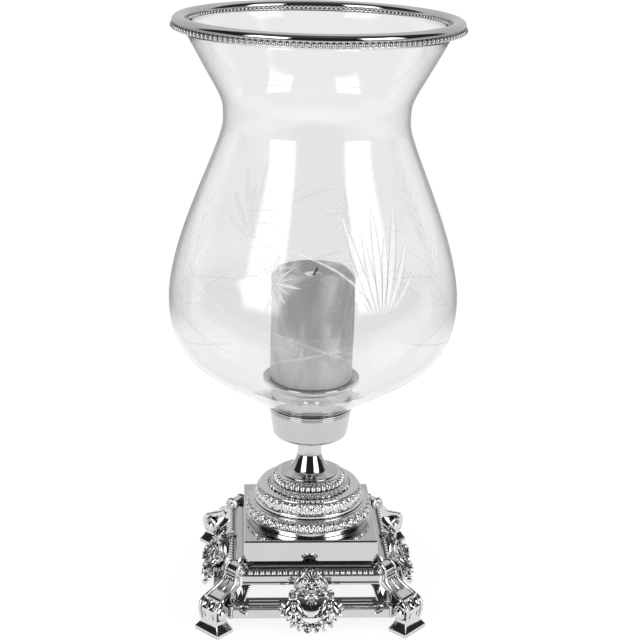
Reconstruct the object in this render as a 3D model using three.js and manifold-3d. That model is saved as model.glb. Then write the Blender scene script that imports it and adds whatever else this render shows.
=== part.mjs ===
// Hurricane lantern: a blown glass shade with a beaded metal rim, standing in a socket
// on a turned pedestal, over a square cast base with scroll legs, lion masks and garlands.
// Millimetres, +Z up, origin on the floor under the axis, front towards -Y.
import * as THREE from 'three';
import { mergeVertices } from 'three/addons/utils/BufferGeometryUtils.js';
import Module from 'manifold-3d';

const wasm = await Module();
wasm.setup();

// Fits
const FIT_GAP = 0.3; // between pieces that rest on each other
const GLASS_GAP = 0.6; // between the glass and the metal that holds it

// Feet and scroll legs
const FOOT_STANDOUT = 17.3; // middle of a foot pad outside the corner of the tray, along the diagonal
const FOOT_WIDTH = 27.6; // across the diagonal
const FOOT_DEPTH = 17.9; // along the diagonal
const FOOT_LIP = 3.4; // upright edge at the floor
const FOOT_HEIGHT = 11.2;
const FOOT_WAIST = 0.68; // top of the pad against its floor size
const LOW_SCROLL_RADIUS = 9.6;
const TOP_SCROLL_RADIUS = 7.2;
const LEG_HOLLOW_RADIUS = 20.0; // concave sweep between the two scrolls
const LEG_THICKNESS = 2.8;
const LEG_WIDTH_TOP = 15;
const LEG_WIDTH_LOW = 23;
const LEG_REED_DEPTH = 0.9;
const SCROLL_SPACE = 0.7; // open spiral between two turns of a scroll
const TOP_SCROLL_TURNS = 1.1;
const LOW_SCROLL_TURNS = 1.0;
const SHIN_DRAFT = 0.85; // foot of the leg's front against the radius of its knee
const LEG_WEB = 12; // thickness of the web behind the strap
const LUG_WIDTH = 12;
const LUG_THICKNESS = 3;
const LUG_LENGTH = 17;

// Tray
const TRAY_BOTTOM = 34.6; // underside of the tray above the floor
const TRAY_HEIGHT = 15.4;
const TRAY_HALF = 68.6; // half width over the fillet
const TRAY_BAND_RUN = 5.4; // width of the sloping band round the cavetto
const TRAY_LEDGE_DROP = 2.8; // depth of the cavetto
const TRAY_BAND_DROP = 4.4; // height of the sloping band
const TRAY_WALL = 4;
const TRAY_DECK = 3;
const TRAY_STEP = 0.7; // small steps of the fillet

// Beads on the sloping band
const BEAD_RADIUS = 1.75;
const BEAD_PITCH = 4.8;
const BEAD_BAR = 0.8; // thickness of the strip that carries the beads

// Side panels
const RAIL_STANDOUT = 13.4; // plain face of the rail outside the tray
const RAIL_DEPTH = 9; // from the plain face to the inner top edge
const RAIL_BOTTOM = 11.2;
const RAIL_FACE_HEIGHT = 8.5;
const RAIL_TOP = 25.9;
const RAIL_WALL = 4; // foot of the rail
const RAIL_GROOVE = 0.7; // hollow of the sloping top
const POST_WIDTH = 8;
const POST_DEPTH = 3.6;
const WINDOW_INSET_TOP = 18.2; // from the edge of the tray
const WINDOW_INSET_BOTTOM = 13.4;

// Masks and garlands
const MASK_CENTRE = 38.7; // height of the middle of the face
const MASK_HALF_WIDTH = 13.4;
const MASK_HALF_HEIGHT = 11.2;
const MASK_TAPER = 0.5; // wider jowls and a narrower crown than the middle, as a share of the half width
const CROWN_LEAF = [2.6, 3.6, 1]; // half width, length and thickness of the tuft over the beads
const MASK_EDGE = 2.2; // thickness at the edge of the mane
const MASK_DOME = 6.2;
const MANE_LOCKS = 10;
const MANE_START = 0.55; // of the way from the middle of the face to its edge
const MANE_RELIEF = 1.8;
const MANE_SCALLOP = 0.07; // of the outline
const MUZZLE = [3.8, 0, -4.5, 3.8, 3]; // height, then place and spread across and up
const NOSE = [1.4, 0, 0, 1.6, 4];
const MOUTH = [-1.8, 0, -8.4, 3, 0.9];
const BROW = [1.5, 3.6, 3, 2, 1.5];
const EYE = [-1.6, 3.4, 0.4, 1.4, 1.2];
const CHEEK = [1, 6, -2, 2, 2];
const PALMETTE_HALF_LENGTH = 8.6;
const PALMETTE_SETBACK = 1.6; // up the slope of the rail, into the chin
const PALMETTE_HALF_WIDTH = 5.5;
const PALMETTE_HALF_THICKNESS = 1.7;
const GARLAND_RADIUS = 4.4;
const GARLAND_SWELL = 0.8;
const GARLAND_HALF_WIDTH = 15.4;
const GARLAND_DROP = 26.8; // from the jaw of the mask to the lowest sprig
const GARLAND_LUMPS = 8;
const GARLAND_TIP = 0.55; // size of an end against the full size
const SPRIG = [6.4, 1.5, 2.4]; // half length, thickness and width of a leaf
const SPRIG_LEANS = [8, -22];

// Plinth
const PLINTH_INSET = 11.6; // foot of the plinth inside the edge of the tray
const PLINTH_BATTER = 1; // its top inside its foot
const PLINTH_HEIGHT = 18.9;
const PLINTH_WALL = 2;
const PLINTH_CHAMFER = 0.6;

// Pedestal rings
const LOWER_TIER_HEIGHT = 14.5;
const LOWER_TIER_TOP = 47.5;
const LOWER_TIER_BULGE = 55.3;
const LOWER_TIER_FOOT = 51.6;
const UPPER_TIER_HEIGHT = 13.2;
const UPPER_TIER_TOP = 42.8;
const UPPER_TIER_FOOT = 47.2;
const TIER_BORE = 24; // hollow under each ring
const TIER_PLATE = 3; // plate left over the hollow
const LEAF_COUNT = 24;
const LEAF_RELIEF = 0.9;
const COLLAR_HEIGHT = 10.4;
const COLLAR_TOP = 26.2;
const COLLAR_SHOULDER = 30.7;
const COLLAR_SKIRT = 37.2;
const FLUTE_COUNT = 32;
const FLUTE_DEPTH = 1.1;

// Stem, socket cup and tie rod
const STEM_HEIGHT = 35.5;
const STEM_FLANGE = 26;
const STEM_EDGE = 1.6;
const STEM_NECK = 10.4;
const STEM_NECK_HEIGHT = 15; // straight part under the cup
const STEM_SWEEP = [0.55, 0.12, 0.45]; // pulls of the bell curve: inwards, up at its foot, up at the neck
const CUP_HEIGHT = 25.2;
const CUP_TOP = 35.5;
const CUP_BOTTOM = 33;
const CUP_WALL = 1.9;
const CUP_FLOOR = 2.4;
const CUP_ROUND = 2; // rounded foot
const CUP_LIP = 0.6; // bevel of the upper edge
const ROD_RADIUS = 3.9;
const NUT_RADIUS = 7.4;
const NUT_HEIGHT = 4.4;
const WASHER_RADIUS = 12;
const WASHER_THICKNESS = 1.6;
const ROD_TIP = 1.6; // rod past its nut
const GASKET_HEIGHT = 3;

// Screws
const SCREW_RADIUS = 1.6;
const SCREW_HEAD_RADIUS = 3.1;
const SCREW_HEAD_HEIGHT = 2;
const MASK_SCREW_DEPTH = 5; // thread in the back of the mask

// Glass shade, heights above its foot
const SHADE_WALL = 2.2;
const SHADE_BELLY = 119.3;
const SHADE_BELLY_HEIGHT = 115.7;
const SHADE_WAIST = 74.8;
const SHADE_WAIST_HEIGHT = 263.7;
const SHADE_LIP = 107.1;
const SHADE_HEIGHT = 338.4;
const NECK_HANDLE = [42.8, 33.2]; // pulls of the curve: out and up from the neck
const BELLY_HANDLE_LOW = 55.6;
const BELLY_HANDLE_HIGH = 52;
const WAIST_HANDLE_LOW = 20;
const WAIST_HANDLE_HIGH = 22;
const LIP_HANDLE = [32.6, 62]; // in and down from the lip

// Rim
const RIM_ROLL = 5.5; // radius of the rolled edge
const RIM_OVERHANG = 2.1; // roll's middle outside the edge of the glass
const RIM_GRIP = 2.4; // foot of the roll below the edge of the glass
const RIM_INNER_LIP = 2; // foot of the inner lip below the edge of the glass
const RIM_SHEET = 1.1; // thickness of the inner lip
const OUTER_BEADING = 1.7;
const INNER_BEADING = 1.2;

// Candle and its pan
const PAN_RIM = 41.2;
const PAN_RIM_ROLL = 1.5;
const PAN_FLOOR_HEIGHT = 43.6; // pan floor above the foot of the glass
const PAN_WALL = 1.8;
const PAN_WAIST = 36.4;
const PAN_TAPER = 14; // upright wall under the rim
const PAN_SHOULDER = 5; // flare over the neck of the glass
const PAN_SPIGOT_LENGTH = 14;
const CANDLE_RADIUS = 35;
const CANDLE_HEIGHT = 95.6;
const CANDLE_SHOULDER = 7;
const CANDLE_DIP = 4;
const WICK_RADIUS = 0.9;
const WICK_OUT = 8; // wick above the wax
const WICK_IN = 5; // wick in the wax

// Facets
const ROUND = 24;
const SHADE_FACETS = 24;
const SHADE_STEPS = [5, 5, 4]; // from neck to belly, waist and lip
const SMALL_ROUND = 8;
const SCREW_FACETS = 6;

// Widths that follow the tray, from the axis
const ledgeHalf = TRAY_HALF - TRAY_BAND_RUN;
const plinthHalf = TRAY_HALF - PLINTH_INSET;
const plinthTopHalf = plinthHalf - PLINTH_BATTER;
const railOut = TRAY_HALF + RAIL_STANDOUT;
const railIn = railOut - RAIL_DEPTH;
const windowHalfTop = TRAY_HALF - WINDOW_INSET_TOP;
const windowHalfBottom = TRAY_HALF - WINDOW_INSET_BOTTOM;
const footSpread = TRAY_HALF * Math.SQRT2 + FOOT_STANDOUT;

// Levels, from the floor up
const trayTop = TRAY_BOTTOM + TRAY_HEIGHT;
const plinthFoot = trayTop + FIT_GAP;
const plinthTop = plinthFoot + PLINTH_HEIGHT;
const lowerTierFoot = plinthTop + FIT_GAP;
const upperTierFoot = lowerTierFoot + LOWER_TIER_HEIGHT + FIT_GAP;
const collarFoot = upperTierFoot + UPPER_TIER_HEIGHT + FIT_GAP;
const stemFoot = collarFoot + COLLAR_HEIGHT + FIT_GAP;
const cupFoot = stemFoot + STEM_HEIGHT + FIT_GAP;
const cupTop = cupFoot + CUP_HEIGHT;
const gasketFoot = cupFoot + CUP_FLOOR + FIT_GAP;
const shadeFoot = gasketFoot + GASKET_HEIGHT + FIT_GAP;
const candleFoot = shadeFoot + PAN_FLOOR_HEIGHT + FIT_GAP;
const rodHole = ROD_RADIUS + 2 * FIT_GAP;
const screwHole = SCREW_RADIUS + FIT_GAP;
const deckUnder = trayTop - TRAY_DECK;

const silver = { color: 0xd8dadb, roughness: 0.12, metalness: 1 };
const steel = { color: 0x9b9da0, roughness: 0.35, metalness: 1 };
const glass = { color: 0xf3f7f7, roughness: 0.03, metalness: 0, transparent: true, opacity: 0.3 };
const wax = { color: 0xa9a8a6, roughness: 0.55, metalness: 0 };
const char = { color: 0x17150f, roughness: 0.9, metalness: 0 };
const cork = { color: 0x5e5146, roughness: 0.9, metalness: 0 };

// Closed geometry with shared vertices, no empty triangles and outward faces
function clean(geometry) {
  geometry.deleteAttribute('normal');
  geometry.deleteAttribute('uv');
  const merged = mergeVertices(geometry, 1e-4);
  const position = merged.getAttribute('position');
  const corner = [new THREE.Vector3(), new THREE.Vector3(), new THREE.Vector3()];
  const index = [];
  let volume = 0;
  for (let i = 0; i < merged.index.count; i += 3) {
    const [a, b, c] = [0, 1, 2].map((k) => merged.index.getX(i + k));
    if (a === b || b === c || c === a) continue;
    index.push(a, b, c);
    [a, b, c].forEach((v, k) => corner[k].fromBufferAttribute(position, v));
    volume += corner[0].dot(corner[1].cross(corner[2]));
  }
  merged.setIndex(volume < 0 ? index.reverse() : index);
  return merged;
}

function toSolid(geometry) {
  const mesh = clean(geometry);
  return new wasm.Manifold(new wasm.Mesh({
    numProp: 3,
    vertProperties: new Float32Array(mesh.getAttribute('position').array),
    triVerts: new Uint32Array(mesh.index.array),
  }));
}

function fromSolid(solid) {
  const mesh = solid.getMesh();
  const geometry = new THREE.BufferGeometry();
  geometry.setAttribute('position', new THREE.BufferAttribute(mesh.vertProperties, 3));
  geometry.setIndex(new THREE.BufferAttribute(mesh.triVerts, 1));
  return geometry;
}

function join(...geometries) {
  return fromSolid(geometries.map(toSolid).reduce((sum, next) => sum.add(next)));
}

function cut(geometry, ...tools) {
  return fromSolid(tools.map(toSolid).reduce((rest, tool) => rest.subtract(tool), toSolid(geometry)));
}

// Outline of [radius, height] points turned about the axis
function revolve(outline, segments = ROUND, start = 0) {
  const points = outline.map(([r, z]) => new THREE.Vector2(r, z));
  return clean(new THREE.LatheGeometry(points, segments, start).rotateX(Math.PI / 2));
}

// Outline of [half width, height] points carried round a square with mitred corners
function squareTurn(outline) {
  return revolve(outline.map(([half, z]) => [half * Math.SQRT2, z]), 4, Math.PI / 4);
}

// Skin over a row of rings with the same number of points, closed by flat caps
function loft(rings) {
  const count = rings[0].length;
  const points = rings.flat();
  const index = [];
  for (let i = 0; i + 1 < rings.length; i += 1) {
    for (let j = 0; j < count; j += 1) {
      const a = i * count + j;
      const b = i * count + ((j + 1) % count);
      index.push(a, b, b + count, a, b + count, a + count);
    }
  }
  capFaces(rings[0]).forEach(([a, b, c]) => index.push(a, c, b));
  const last = (rings.length - 1) * count;
  capFaces(rings.at(-1)).forEach((face) => index.push(...face.map((v) => v + last)));
  const geometry = new THREE.BufferGeometry().setFromPoints(points);
  geometry.setIndex(index);
  return clean(geometry);
}

// Triangles over one ring, worked out in the ring's own plane
function capFaces(ring) {
  const across = ring[1].clone().sub(ring[0]).normalize();
  const normal = new THREE.Vector3();
  ring.forEach((p, i) => normal.add(p.clone().cross(ring[(i + 1) % ring.length])));
  normal.normalize();
  const up = normal.clone().cross(across);
  const flat = ring.map((p) => new THREE.Vector2(p.dot(across), p.dot(up)));
  return THREE.ShapeUtils.triangulateShape(flat, []);
}

// Plate with an outline of [x, z] points, of the given thickness about y = 0
function plate(outline, thickness) {
  const shape = new THREE.Shape(outline.map(([x, z]) => new THREE.Vector2(x, z)));
  const geometry = new THREE.ExtrudeGeometry(shape, { depth: thickness, bevelEnabled: false });
  return geometry.translate(0, 0, -thickness / 2).rotateX(Math.PI / 2);
}

function upright(radius, low, high, segments = SMALL_ROUND) {
  const geometry = new THREE.CylinderGeometry(radius, radius, high - low, segments);
  return geometry.rotateX(Math.PI / 2).translate(0, 0, (low + high) / 2);
}

function arcPoints(cx, cz, radius, from, to, steps) {
  const turn = (i) => THREE.MathUtils.degToRad(from + ((to - from) * i) / steps);
  return Array.from({ length: steps + 1 }, (_, i) => [
    cx + radius * Math.cos(turn(i)),
    cz + radius * Math.sin(turn(i)),
  ]);
}

// The S-scroll of a leg in its own diagonal plane: [along the diagonal, height]
const topScroll = {
  x: plinthHalf * Math.SQRT2 + 2 * FIT_GAP + TOP_SCROLL_RADIUS,
  z: trayTop - TRAY_LEDGE_DROP,
  r: TOP_SCROLL_RADIUS,
};
const lowScroll = {
  x: footSpread - LOW_SCROLL_RADIUS / 5,
  z: FOOT_HEIGHT + LOW_SCROLL_RADIUS - 2 * FIT_GAP,
  r: LOW_SCROLL_RADIUS,
};

// Middle of the hollow sweep that touches both scrolls from outside
function hollowCentre() {
  const a = topScroll.r + LEG_HOLLOW_RADIUS;
  const b = lowScroll.r + LEG_HOLLOW_RADIUS;
  const dx = lowScroll.x - topScroll.x;
  const dz = lowScroll.z - topScroll.z;
  const span = Math.hypot(dx, dz);
  const along = (a * a - b * b + span * span) / (2 * span);
  const off = Math.sqrt(a * a - along * along);
  return {
    x: topScroll.x + (dx * along - dz * off) / span,
    z: topScroll.z + (dz * along + dx * off) / span,
  };
}

// Stations along the outer face of the strap: place, outward direction and width
function strapStations() {
  const hollow = hollowCentre();
  const topTouch = Math.atan2(hollow.z - topScroll.z, hollow.x - topScroll.x);
  const lowTouch = Math.atan2(hollow.z - lowScroll.z, hollow.x - lowScroll.x);
  const stations = [];
  const pitch = LEG_THICKNESS + SCROLL_SPACE;
  const spiral = (scroll, turns, angle, width) => {
    const r = scroll.r - pitch * Math.max(0, 2 * turns - 1);
    const out = [Math.cos(angle), Math.sin(angle)];
    stations.push({ x: scroll.x + r * out[0], z: scroll.z + r * out[1], out, width });
  };
  const topSteps = 6;
  for (let i = topSteps; i > 0; i -= 1) {
    const turns = (TOP_SCROLL_TURNS * i) / topSteps;
    spiral(topScroll, turns, topTouch + turns * 2 * Math.PI, LEG_WIDTH_TOP);
  }
  const sweepSteps = 5;
  const from = topTouch + Math.PI;
  const to = lowTouch + Math.PI;
  for (let i = 0; i <= sweepSteps; i += 1) {
    const f = i / sweepSteps;
    const angle = from + (to - from) * f;
    const out = [-Math.cos(angle), -Math.sin(angle)];
    const width = THREE.MathUtils.lerp(LEG_WIDTH_TOP, LEG_WIDTH_LOW, f);
    const x = hollow.x - LEG_HOLLOW_RADIUS * out[0];
    stations.push({ x, z: hollow.z - LEG_HOLLOW_RADIUS * out[1], out, width });
  }
  const lowSteps = 6;
  for (let i = 1; i <= lowSteps; i += 1) {
    const turns = (LOW_SCROLL_TURNS * i) / lowSteps;
    spiral(lowScroll, turns, lowTouch - turns * 2 * Math.PI, LEG_WIDTH_LOW);
  }
  return stations;
}

// Strap with two hollow flutes along its outer face
function legStrap() {
  const section = [[-1, 0], [-0.5, 1], [0, 0], [0.5, 1], [1, 0]];
  return loft(strapStations().map(({ x, z, out, width }) => {
    const at = (side, depth) => (
      new THREE.Vector3(x - out[0] * depth, (side * width) / 2, z - out[1] * depth)
    );
    const face = section.map(([side, sunk]) => at(side, sunk * LEG_REED_DEPTH));
    return [...face, at(1, LEG_THICKNESS), at(-1, LEG_THICKNESS)];
  }));
}

function footPad() {
  const top = lowScroll.z - lowScroll.r + LEG_THICKNESS / 2;
  const hollow = arcPoints(1, top, 1, 270, 180, 3).map(([x, z]) => [
    FOOT_LIP + (top - FOOT_LIP) * (z - top + 1),
    FOOT_WAIST + (1 - FOOT_WAIST) * x,
  ]);
  const levels = [[0, 1], ...hollow];
  const corners = [[-1, -1], [1, -1], [1, 1], [-1, 1]];
  return loft(levels.map(([z, size]) => corners.map(([cx, cy]) => (
    new THREE.Vector3(footSpread + (cx * FOOT_DEPTH * size) / 2, (cy * FOOT_WIDTH * size) / 2, z)
  ))));
}

const postTopOut = TRAY_HALF - TRAY_STEP - FIT_GAP;
const postTopGap = postTopOut - windowHalfTop - POST_WIDTH;

// Web behind the strap, the block that the rails end against, and the flank between the posts
function legWeb() {
  const strap = strapStations().filter(({ width }) => width > LEG_WIDTH_TOP && width < LEG_WIDTH_LOW);
  const sunk = LEG_THICKNESS / 2;
  const under = strap.map(({ x, z, out }) => [x - out[0] * sunk, z - out[1] * sunk]);
  const inner = topScroll.x;
  const outer = lowScroll.x - lowScroll.r;
  const blockTop = RAIL_TOP - POST_DEPTH;
  const neck = topScroll.z - topScroll.r + sunk;
  const web = plate([...under, [outer, blockTop], [inner, blockTop], [inner, neck]], LEG_WEB);
  const block = plate([
    [inner + LEG_THICKNESS, RAIL_BOTTOM],
    [outer + LEG_THICKNESS, RAIL_BOTTOM + FIT_GAP],
    [outer + LEG_THICKNESS, blockTop],
    [inner + LEG_THICKNESS, blockTop + FIT_GAP],
  ], LEG_WIDTH_LOW);
  const flank = loft([
    [blockTop, outer + sunk, LEG_WIDTH_LOW / 2 - FIT_GAP],
    [TRAY_BOTTOM - 2 * FIT_GAP, outer - LEG_THICKNESS, postTopGap / Math.SQRT2 - FIT_GAP],
  ].map(([z, far, half]) => [
    new THREE.Vector3(inner + sunk, -half, z),
    new THREE.Vector3(far, -half, z),
    new THREE.Vector3(far, half, z),
    new THREE.Vector3(inner + sunk, half, z),
  ]));
  return join(web, block, flank);
}

const lugTop = deckUnder - FIT_GAP;
const lugEnd = topScroll.x - topScroll.r - LUG_LENGTH;
const legScrewPlace = lugEnd + LUG_WIDTH / 2;

function legLug() {
  const length = LUG_LENGTH + LEG_THICKNESS / 2;
  const lug = new THREE.BoxGeometry(length, LUG_WIDTH, LUG_THICKNESS);
  lug.translate(lugEnd + length / 2, 0, lugTop - LUG_THICKNESS / 2);
  return cut(lug, upright(screwHole, lugTop - 2 * LUG_THICKNESS, trayTop).translate(legScrewPlace, 0, 0));
}

// Front of the leg, straight down from its knee to the pad
function legShin() {
  const { x, z, r } = lowScroll;
  const foot = z - r;
  const front = x + r * SHIN_DRAFT;
  return plate([[x, z], [x, foot], [front, foot], [front, foot + r / 4], [x + r, z]], FOOT_WIDTH * FOOT_WAIST);
}

function leg() {
  return join(legStrap(), footPad(), legShin(), legWeb(), legLug());
}

// Pan head screw standing on its head, thread upwards
function screw(length) {
  return revolve([
    [0, -SCREW_HEAD_HEIGHT],
    [SCREW_HEAD_RADIUS, -SCREW_HEAD_HEIGHT / 2],
    [SCREW_HEAD_RADIUS, 0],
    [SCREW_RADIUS, 0],
    [SCREW_RADIUS, length],
    [0, length],
  ], SCREW_FACETS);
}

function legScrew() {
  const seat = lugTop - LUG_THICKNESS - FIT_GAP;
  return screw(trayTop - seat - FIT_GAP).translate(legScrewPlace, 0, seat);
}

// Slot through a corner of the tray for the top of a leg
function legSlot() {
  const inner = topScroll.x - topScroll.r - FIT_GAP;
  const outer = footSpread;
  const low = TRAY_BOTTOM - FIT_GAP;
  const ring = (x) => [
    new THREE.Vector3(x, -LEG_WIDTH_LOW / 2, low),
    new THREE.Vector3(x, LEG_WIDTH_LOW / 2, low),
    new THREE.Vector3(x, LEG_WIDTH_TOP / 2 + FIT_GAP, topScroll.z),
    new THREE.Vector3(x, LEG_WIDTH_TOP / 2 + FIT_GAP, trayTop + FIT_GAP),
    new THREE.Vector3(x, -LEG_WIDTH_TOP / 2 - FIT_GAP, trayTop + FIT_GAP),
    new THREE.Vector3(x, -LEG_WIDTH_TOP / 2 - FIT_GAP, topScroll.z),
  ];
  const pocket = new THREE.BoxGeometry(LUG_LENGTH, LUG_WIDTH + 2 * FIT_GAP, deckUnder - low);
  pocket.translate(inner - LUG_LENGTH / 2 + FIT_GAP, 0, (deckUnder + low) / 2);
  return join(loft([ring(inner), ring(outer)]), pocket);
}

const bandTop = trayTop - TRAY_LEDGE_DROP;
const bandFoot = bandTop - TRAY_BAND_DROP;
const wallTop = bandFoot - TRAY_WALL / 2; // the upright part of the tray's edge, seen inside
const maskScrewHeight = wallTop - SCREW_HEAD_RADIUS - FIT_GAP;

function tray() {
  const cavettoRadius = ledgeHalf - plinthHalf;
  const cavetto = arcPoints(0, 0, 1, 180, 270, 3).map(([x, z]) => [
    ledgeHalf + cavettoRadius * x,
    trayTop + TRAY_LEDGE_DROP * z,
  ]);
  const body = squareTurn([
    [0, deckUnder],
    [ledgeHalf - TRAY_WALL - TRAY_DECK, deckUnder],
    [TRAY_HALF - TRAY_WALL, wallTop],
    [TRAY_HALF - TRAY_WALL, TRAY_BOTTOM],
    [TRAY_HALF - TRAY_STEP, TRAY_BOTTOM],
    [TRAY_HALF, TRAY_BOTTOM + TRAY_STEP],
    [TRAY_HALF, TRAY_BOTTOM + 3 * TRAY_STEP],
    [TRAY_HALF - TRAY_STEP, TRAY_BOTTOM + 4 * TRAY_STEP],
    [TRAY_HALF, TRAY_BOTTOM + 5 * TRAY_STEP],
    [TRAY_HALF, bandFoot],
    [ledgeHalf + TRAY_STEP, bandTop],
    ...cavetto.reverse(),
    [0, trayTop],
  ]);
  const corners = [45, 135, 225, 315].map((turn) => THREE.MathUtils.degToRad(turn));
  const slots = corners.map((turn) => legSlot().rotateZ(turn));
  const legHoles = corners.map((turn) => (
    upright(screwHole, TRAY_BOTTOM, plinthTop).translate(legScrewPlace, 0, 0).rotateZ(turn)
  ));
  const sides = [0, 1, 2, 3].map((k) => (k * Math.PI) / 2);
  const maskHoles = sides.map((turn) => (
    upright(screwHole, plinthHalf, railOut).rotateX(Math.PI / 2)
      .translate(0, 0, maskScrewHeight).rotateZ(turn)
  ));
  return cut(body, upright(rodHole, 0, plinthTop), ...slots, ...legHoles, ...maskHoles);
}

// Row of beads along one side, on a thin bar that lies on the sloping band
function beadStrip() {
  const run = TRAY_HALF - ledgeHalf - TRAY_STEP;
  const tilt = Math.atan2(TRAY_BAND_DROP, run);
  const room = 2 * (ledgeHalf - LEG_WIDTH_LOW / Math.SQRT2 / 2 - BEAD_RADIUS);
  const count = Math.floor(room / BEAD_PITCH);
  const bar = new THREE.BoxGeometry(count * BEAD_PITCH, 2 * BEAD_RADIUS, BEAD_BAR);
  const beads = Array.from({ length: count }, (_, i) => {
    const bead = new THREE.OctahedronGeometry(BEAD_RADIUS);
    return bead.translate((i - (count - 1) / 2) * BEAD_PITCH, 0, BEAD_BAR / 2);
  });
  const under = new THREE.BoxGeometry(2 * room, 4 * BEAD_RADIUS, 2 * BEAD_RADIUS);
  under.translate(0, 0, -BEAD_RADIUS - BEAD_BAR / 2);
  const strip = cut(join(bar, ...beads), under);
  strip.translate(0, 0, BEAD_BAR / 2 + FIT_GAP).rotateX(tilt);
  return strip.translate(0, -(ledgeHalf + TRAY_STEP + TRAY_HALF) / 2, (bandTop + bandFoot) / 2);
}

// Lower rail with a moulded sloping top, and the two posts that carry the tray's edge
function sidePanel() {
  const faceTop = RAIL_BOTTOM + RAIL_FACE_HEIGHT;
  const slope = (f, sunk) => [
    railOut - (railOut - railIn) * f - sunk,
    faceTop + (RAIL_TOP - faceTop) * f - sunk,
  ];
  const section = [
    [railOut, RAIL_BOTTOM],
    [railOut, faceTop],
    slope(0.2, 0),
    slope(0.3, RAIL_GROOVE),
    slope(0.7, RAIL_GROOVE),
    slope(0.8, 0),
    [railIn, RAIL_TOP],
    [railIn - 2 * RAIL_GROOVE, RAIL_TOP - RAIL_GROOVE],
    [railOut - RAIL_WALL, RAIL_BOTTOM],
  ];
  const endGap = (LEG_WIDTH_LOW / 2 + FIT_GAP) * Math.SQRT2;
  const rail = loft([-1, 1].map((end) => (
    section.map(([y, z]) => new THREE.Vector3(end * (y - endGap), -y, z))
  )));
  const top = TRAY_BOTTOM - FIT_GAP;
  const foot = RAIL_TOP - POST_DEPTH / 2;
  const footOut = railIn + POST_DEPTH - FIT_GAP;
  const posts = [-1, 1].map((side) => loft([
    [windowHalfBottom, footOut, foot, endGap],
    [windowHalfTop, postTopOut, top, postTopGap],
  ].map(([half, out, z, gap]) => [
    new THREE.Vector3(side * half, -out, z),
    new THREE.Vector3(side * (out - gap), -out, z),
    new THREE.Vector3(side * (out - POST_DEPTH - gap), -out + POST_DEPTH, z),
    new THREE.Vector3(side * half, -out + POST_DEPTH, z),
  ])));
  return join(rail, ...posts);
}

const maskBack = TRAY_HALF + FIT_GAP;

// Depth of the face over its back plane at x across and y up from its middle
function maskRelief(x, y, ring, angle) {
  const bump = ([height, cx, cy, sx, sy], side = 1) => (
    height * Math.exp(-(((x - side * cx) / sx) ** 2) - (((y - cy) / sy) ** 2))
  );
  const pair = (feature) => bump(feature) + bump(feature, -1);
  const dome = MASK_DOME * Math.sqrt(Math.max(0, 1 - ring * ring));
  const mane = MANE_RELIEF * Math.max(0, ring - MANE_START) * Math.cos(MANE_LOCKS * angle);
  const middle = bump(MUZZLE) + bump(NOSE) + bump(MOUTH);
  return MASK_EDGE + dome + mane + middle + pair(BROW) + pair(EYE) + pair(CHEEK);
}

// Tuft at the top of the mask, bent back along the beads, in the same axes as the face
function maskCrown() {
  const slope = Math.atan2(TRAY_BAND_RUN, TRAY_BAND_DROP);
  const lift = 2 * BEAD_RADIUS + 2 * FIT_GAP;
  const beadsHeight = trayTop - TRAY_LEDGE_DROP - TRAY_BAND_DROP / 2;
  const tuft = new THREE.OctahedronGeometry(1).scale(...CROWN_LEAF).translate(0, 0, lift).rotateX(-slope);
  return tuft.translate(0, beadsHeight - MASK_CENTRE, TRAY_HALF - TRAY_BAND_RUN / 2 - maskBack);
}

// Lion mask: a relief in rings about its middle, with a flat back and a palmette below
function mask() {
  const sectors = 2 * MANE_LOCKS;
  const rings = [1, 0.78, 0.52, 0.26];
  const spot = (ring, j, depth) => {
    const angle = (j / sectors) * 2 * Math.PI + Math.PI / 2;
    const size = ring * (1 + MANE_SCALLOP * ring * Math.cos(MANE_LOCKS * (angle - Math.PI / 2)));
    const x = MASK_HALF_WIDTH * size * Math.cos(angle) * (1 - MASK_TAPER * Math.sin(angle));
    const y = MASK_HALF_HEIGHT * size * Math.sin(angle);
    return new THREE.Vector3(x, y, depth ?? maskRelief(x, y, ring, angle - Math.PI / 2));
  };
  const loop = (ring, depth) => Array.from({ length: sectors }, (_, j) => spot(ring, j, depth));
  const face = loft([loop(1, 0), ...rings.map((ring) => loop(ring))]);
  const palmette = new THREE.SphereGeometry(1, 6, 4);
  palmette.scale(PALMETTE_HALF_WIDTH, PALMETTE_HALF_LENGTH, PALMETTE_HALF_THICKNESS);
  const slope = Math.atan2(railOut - railIn, RAIL_TOP - RAIL_BOTTOM - RAIL_FACE_HEIGHT);
  const lift = PALMETTE_HALF_THICKNESS + 2 * FIT_GAP;
  const middle = (RAIL_TOP + RAIL_BOTTOM + RAIL_FACE_HEIGHT) / 2 - MASK_CENTRE;
  palmette.translate(0, PALMETTE_SETBACK, lift).rotateX(-slope);
  palmette.translate(0, middle, (railOut + railIn) / 2 - maskBack);
  const hole = upright(screwHole, -MASK_SCREW_DEPTH, MASK_SCREW_DEPTH + FIT_GAP);
  hole.translate(0, maskScrewHeight - MASK_CENTRE, 0);
  const whole = cut(join(face, palmette, maskCrown()), hole);
  return whole.rotateX(Math.PI / 2).translate(0, -maskBack, MASK_CENTRE);
}

function maskScrew() {
  const seat = TRAY_HALF - TRAY_WALL - FIT_GAP;
  const length = maskBack + MASK_SCREW_DEPTH - seat;
  return screw(length).rotateX(Math.PI / 2).translate(0, -seat, maskScrewHeight);
}

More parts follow.
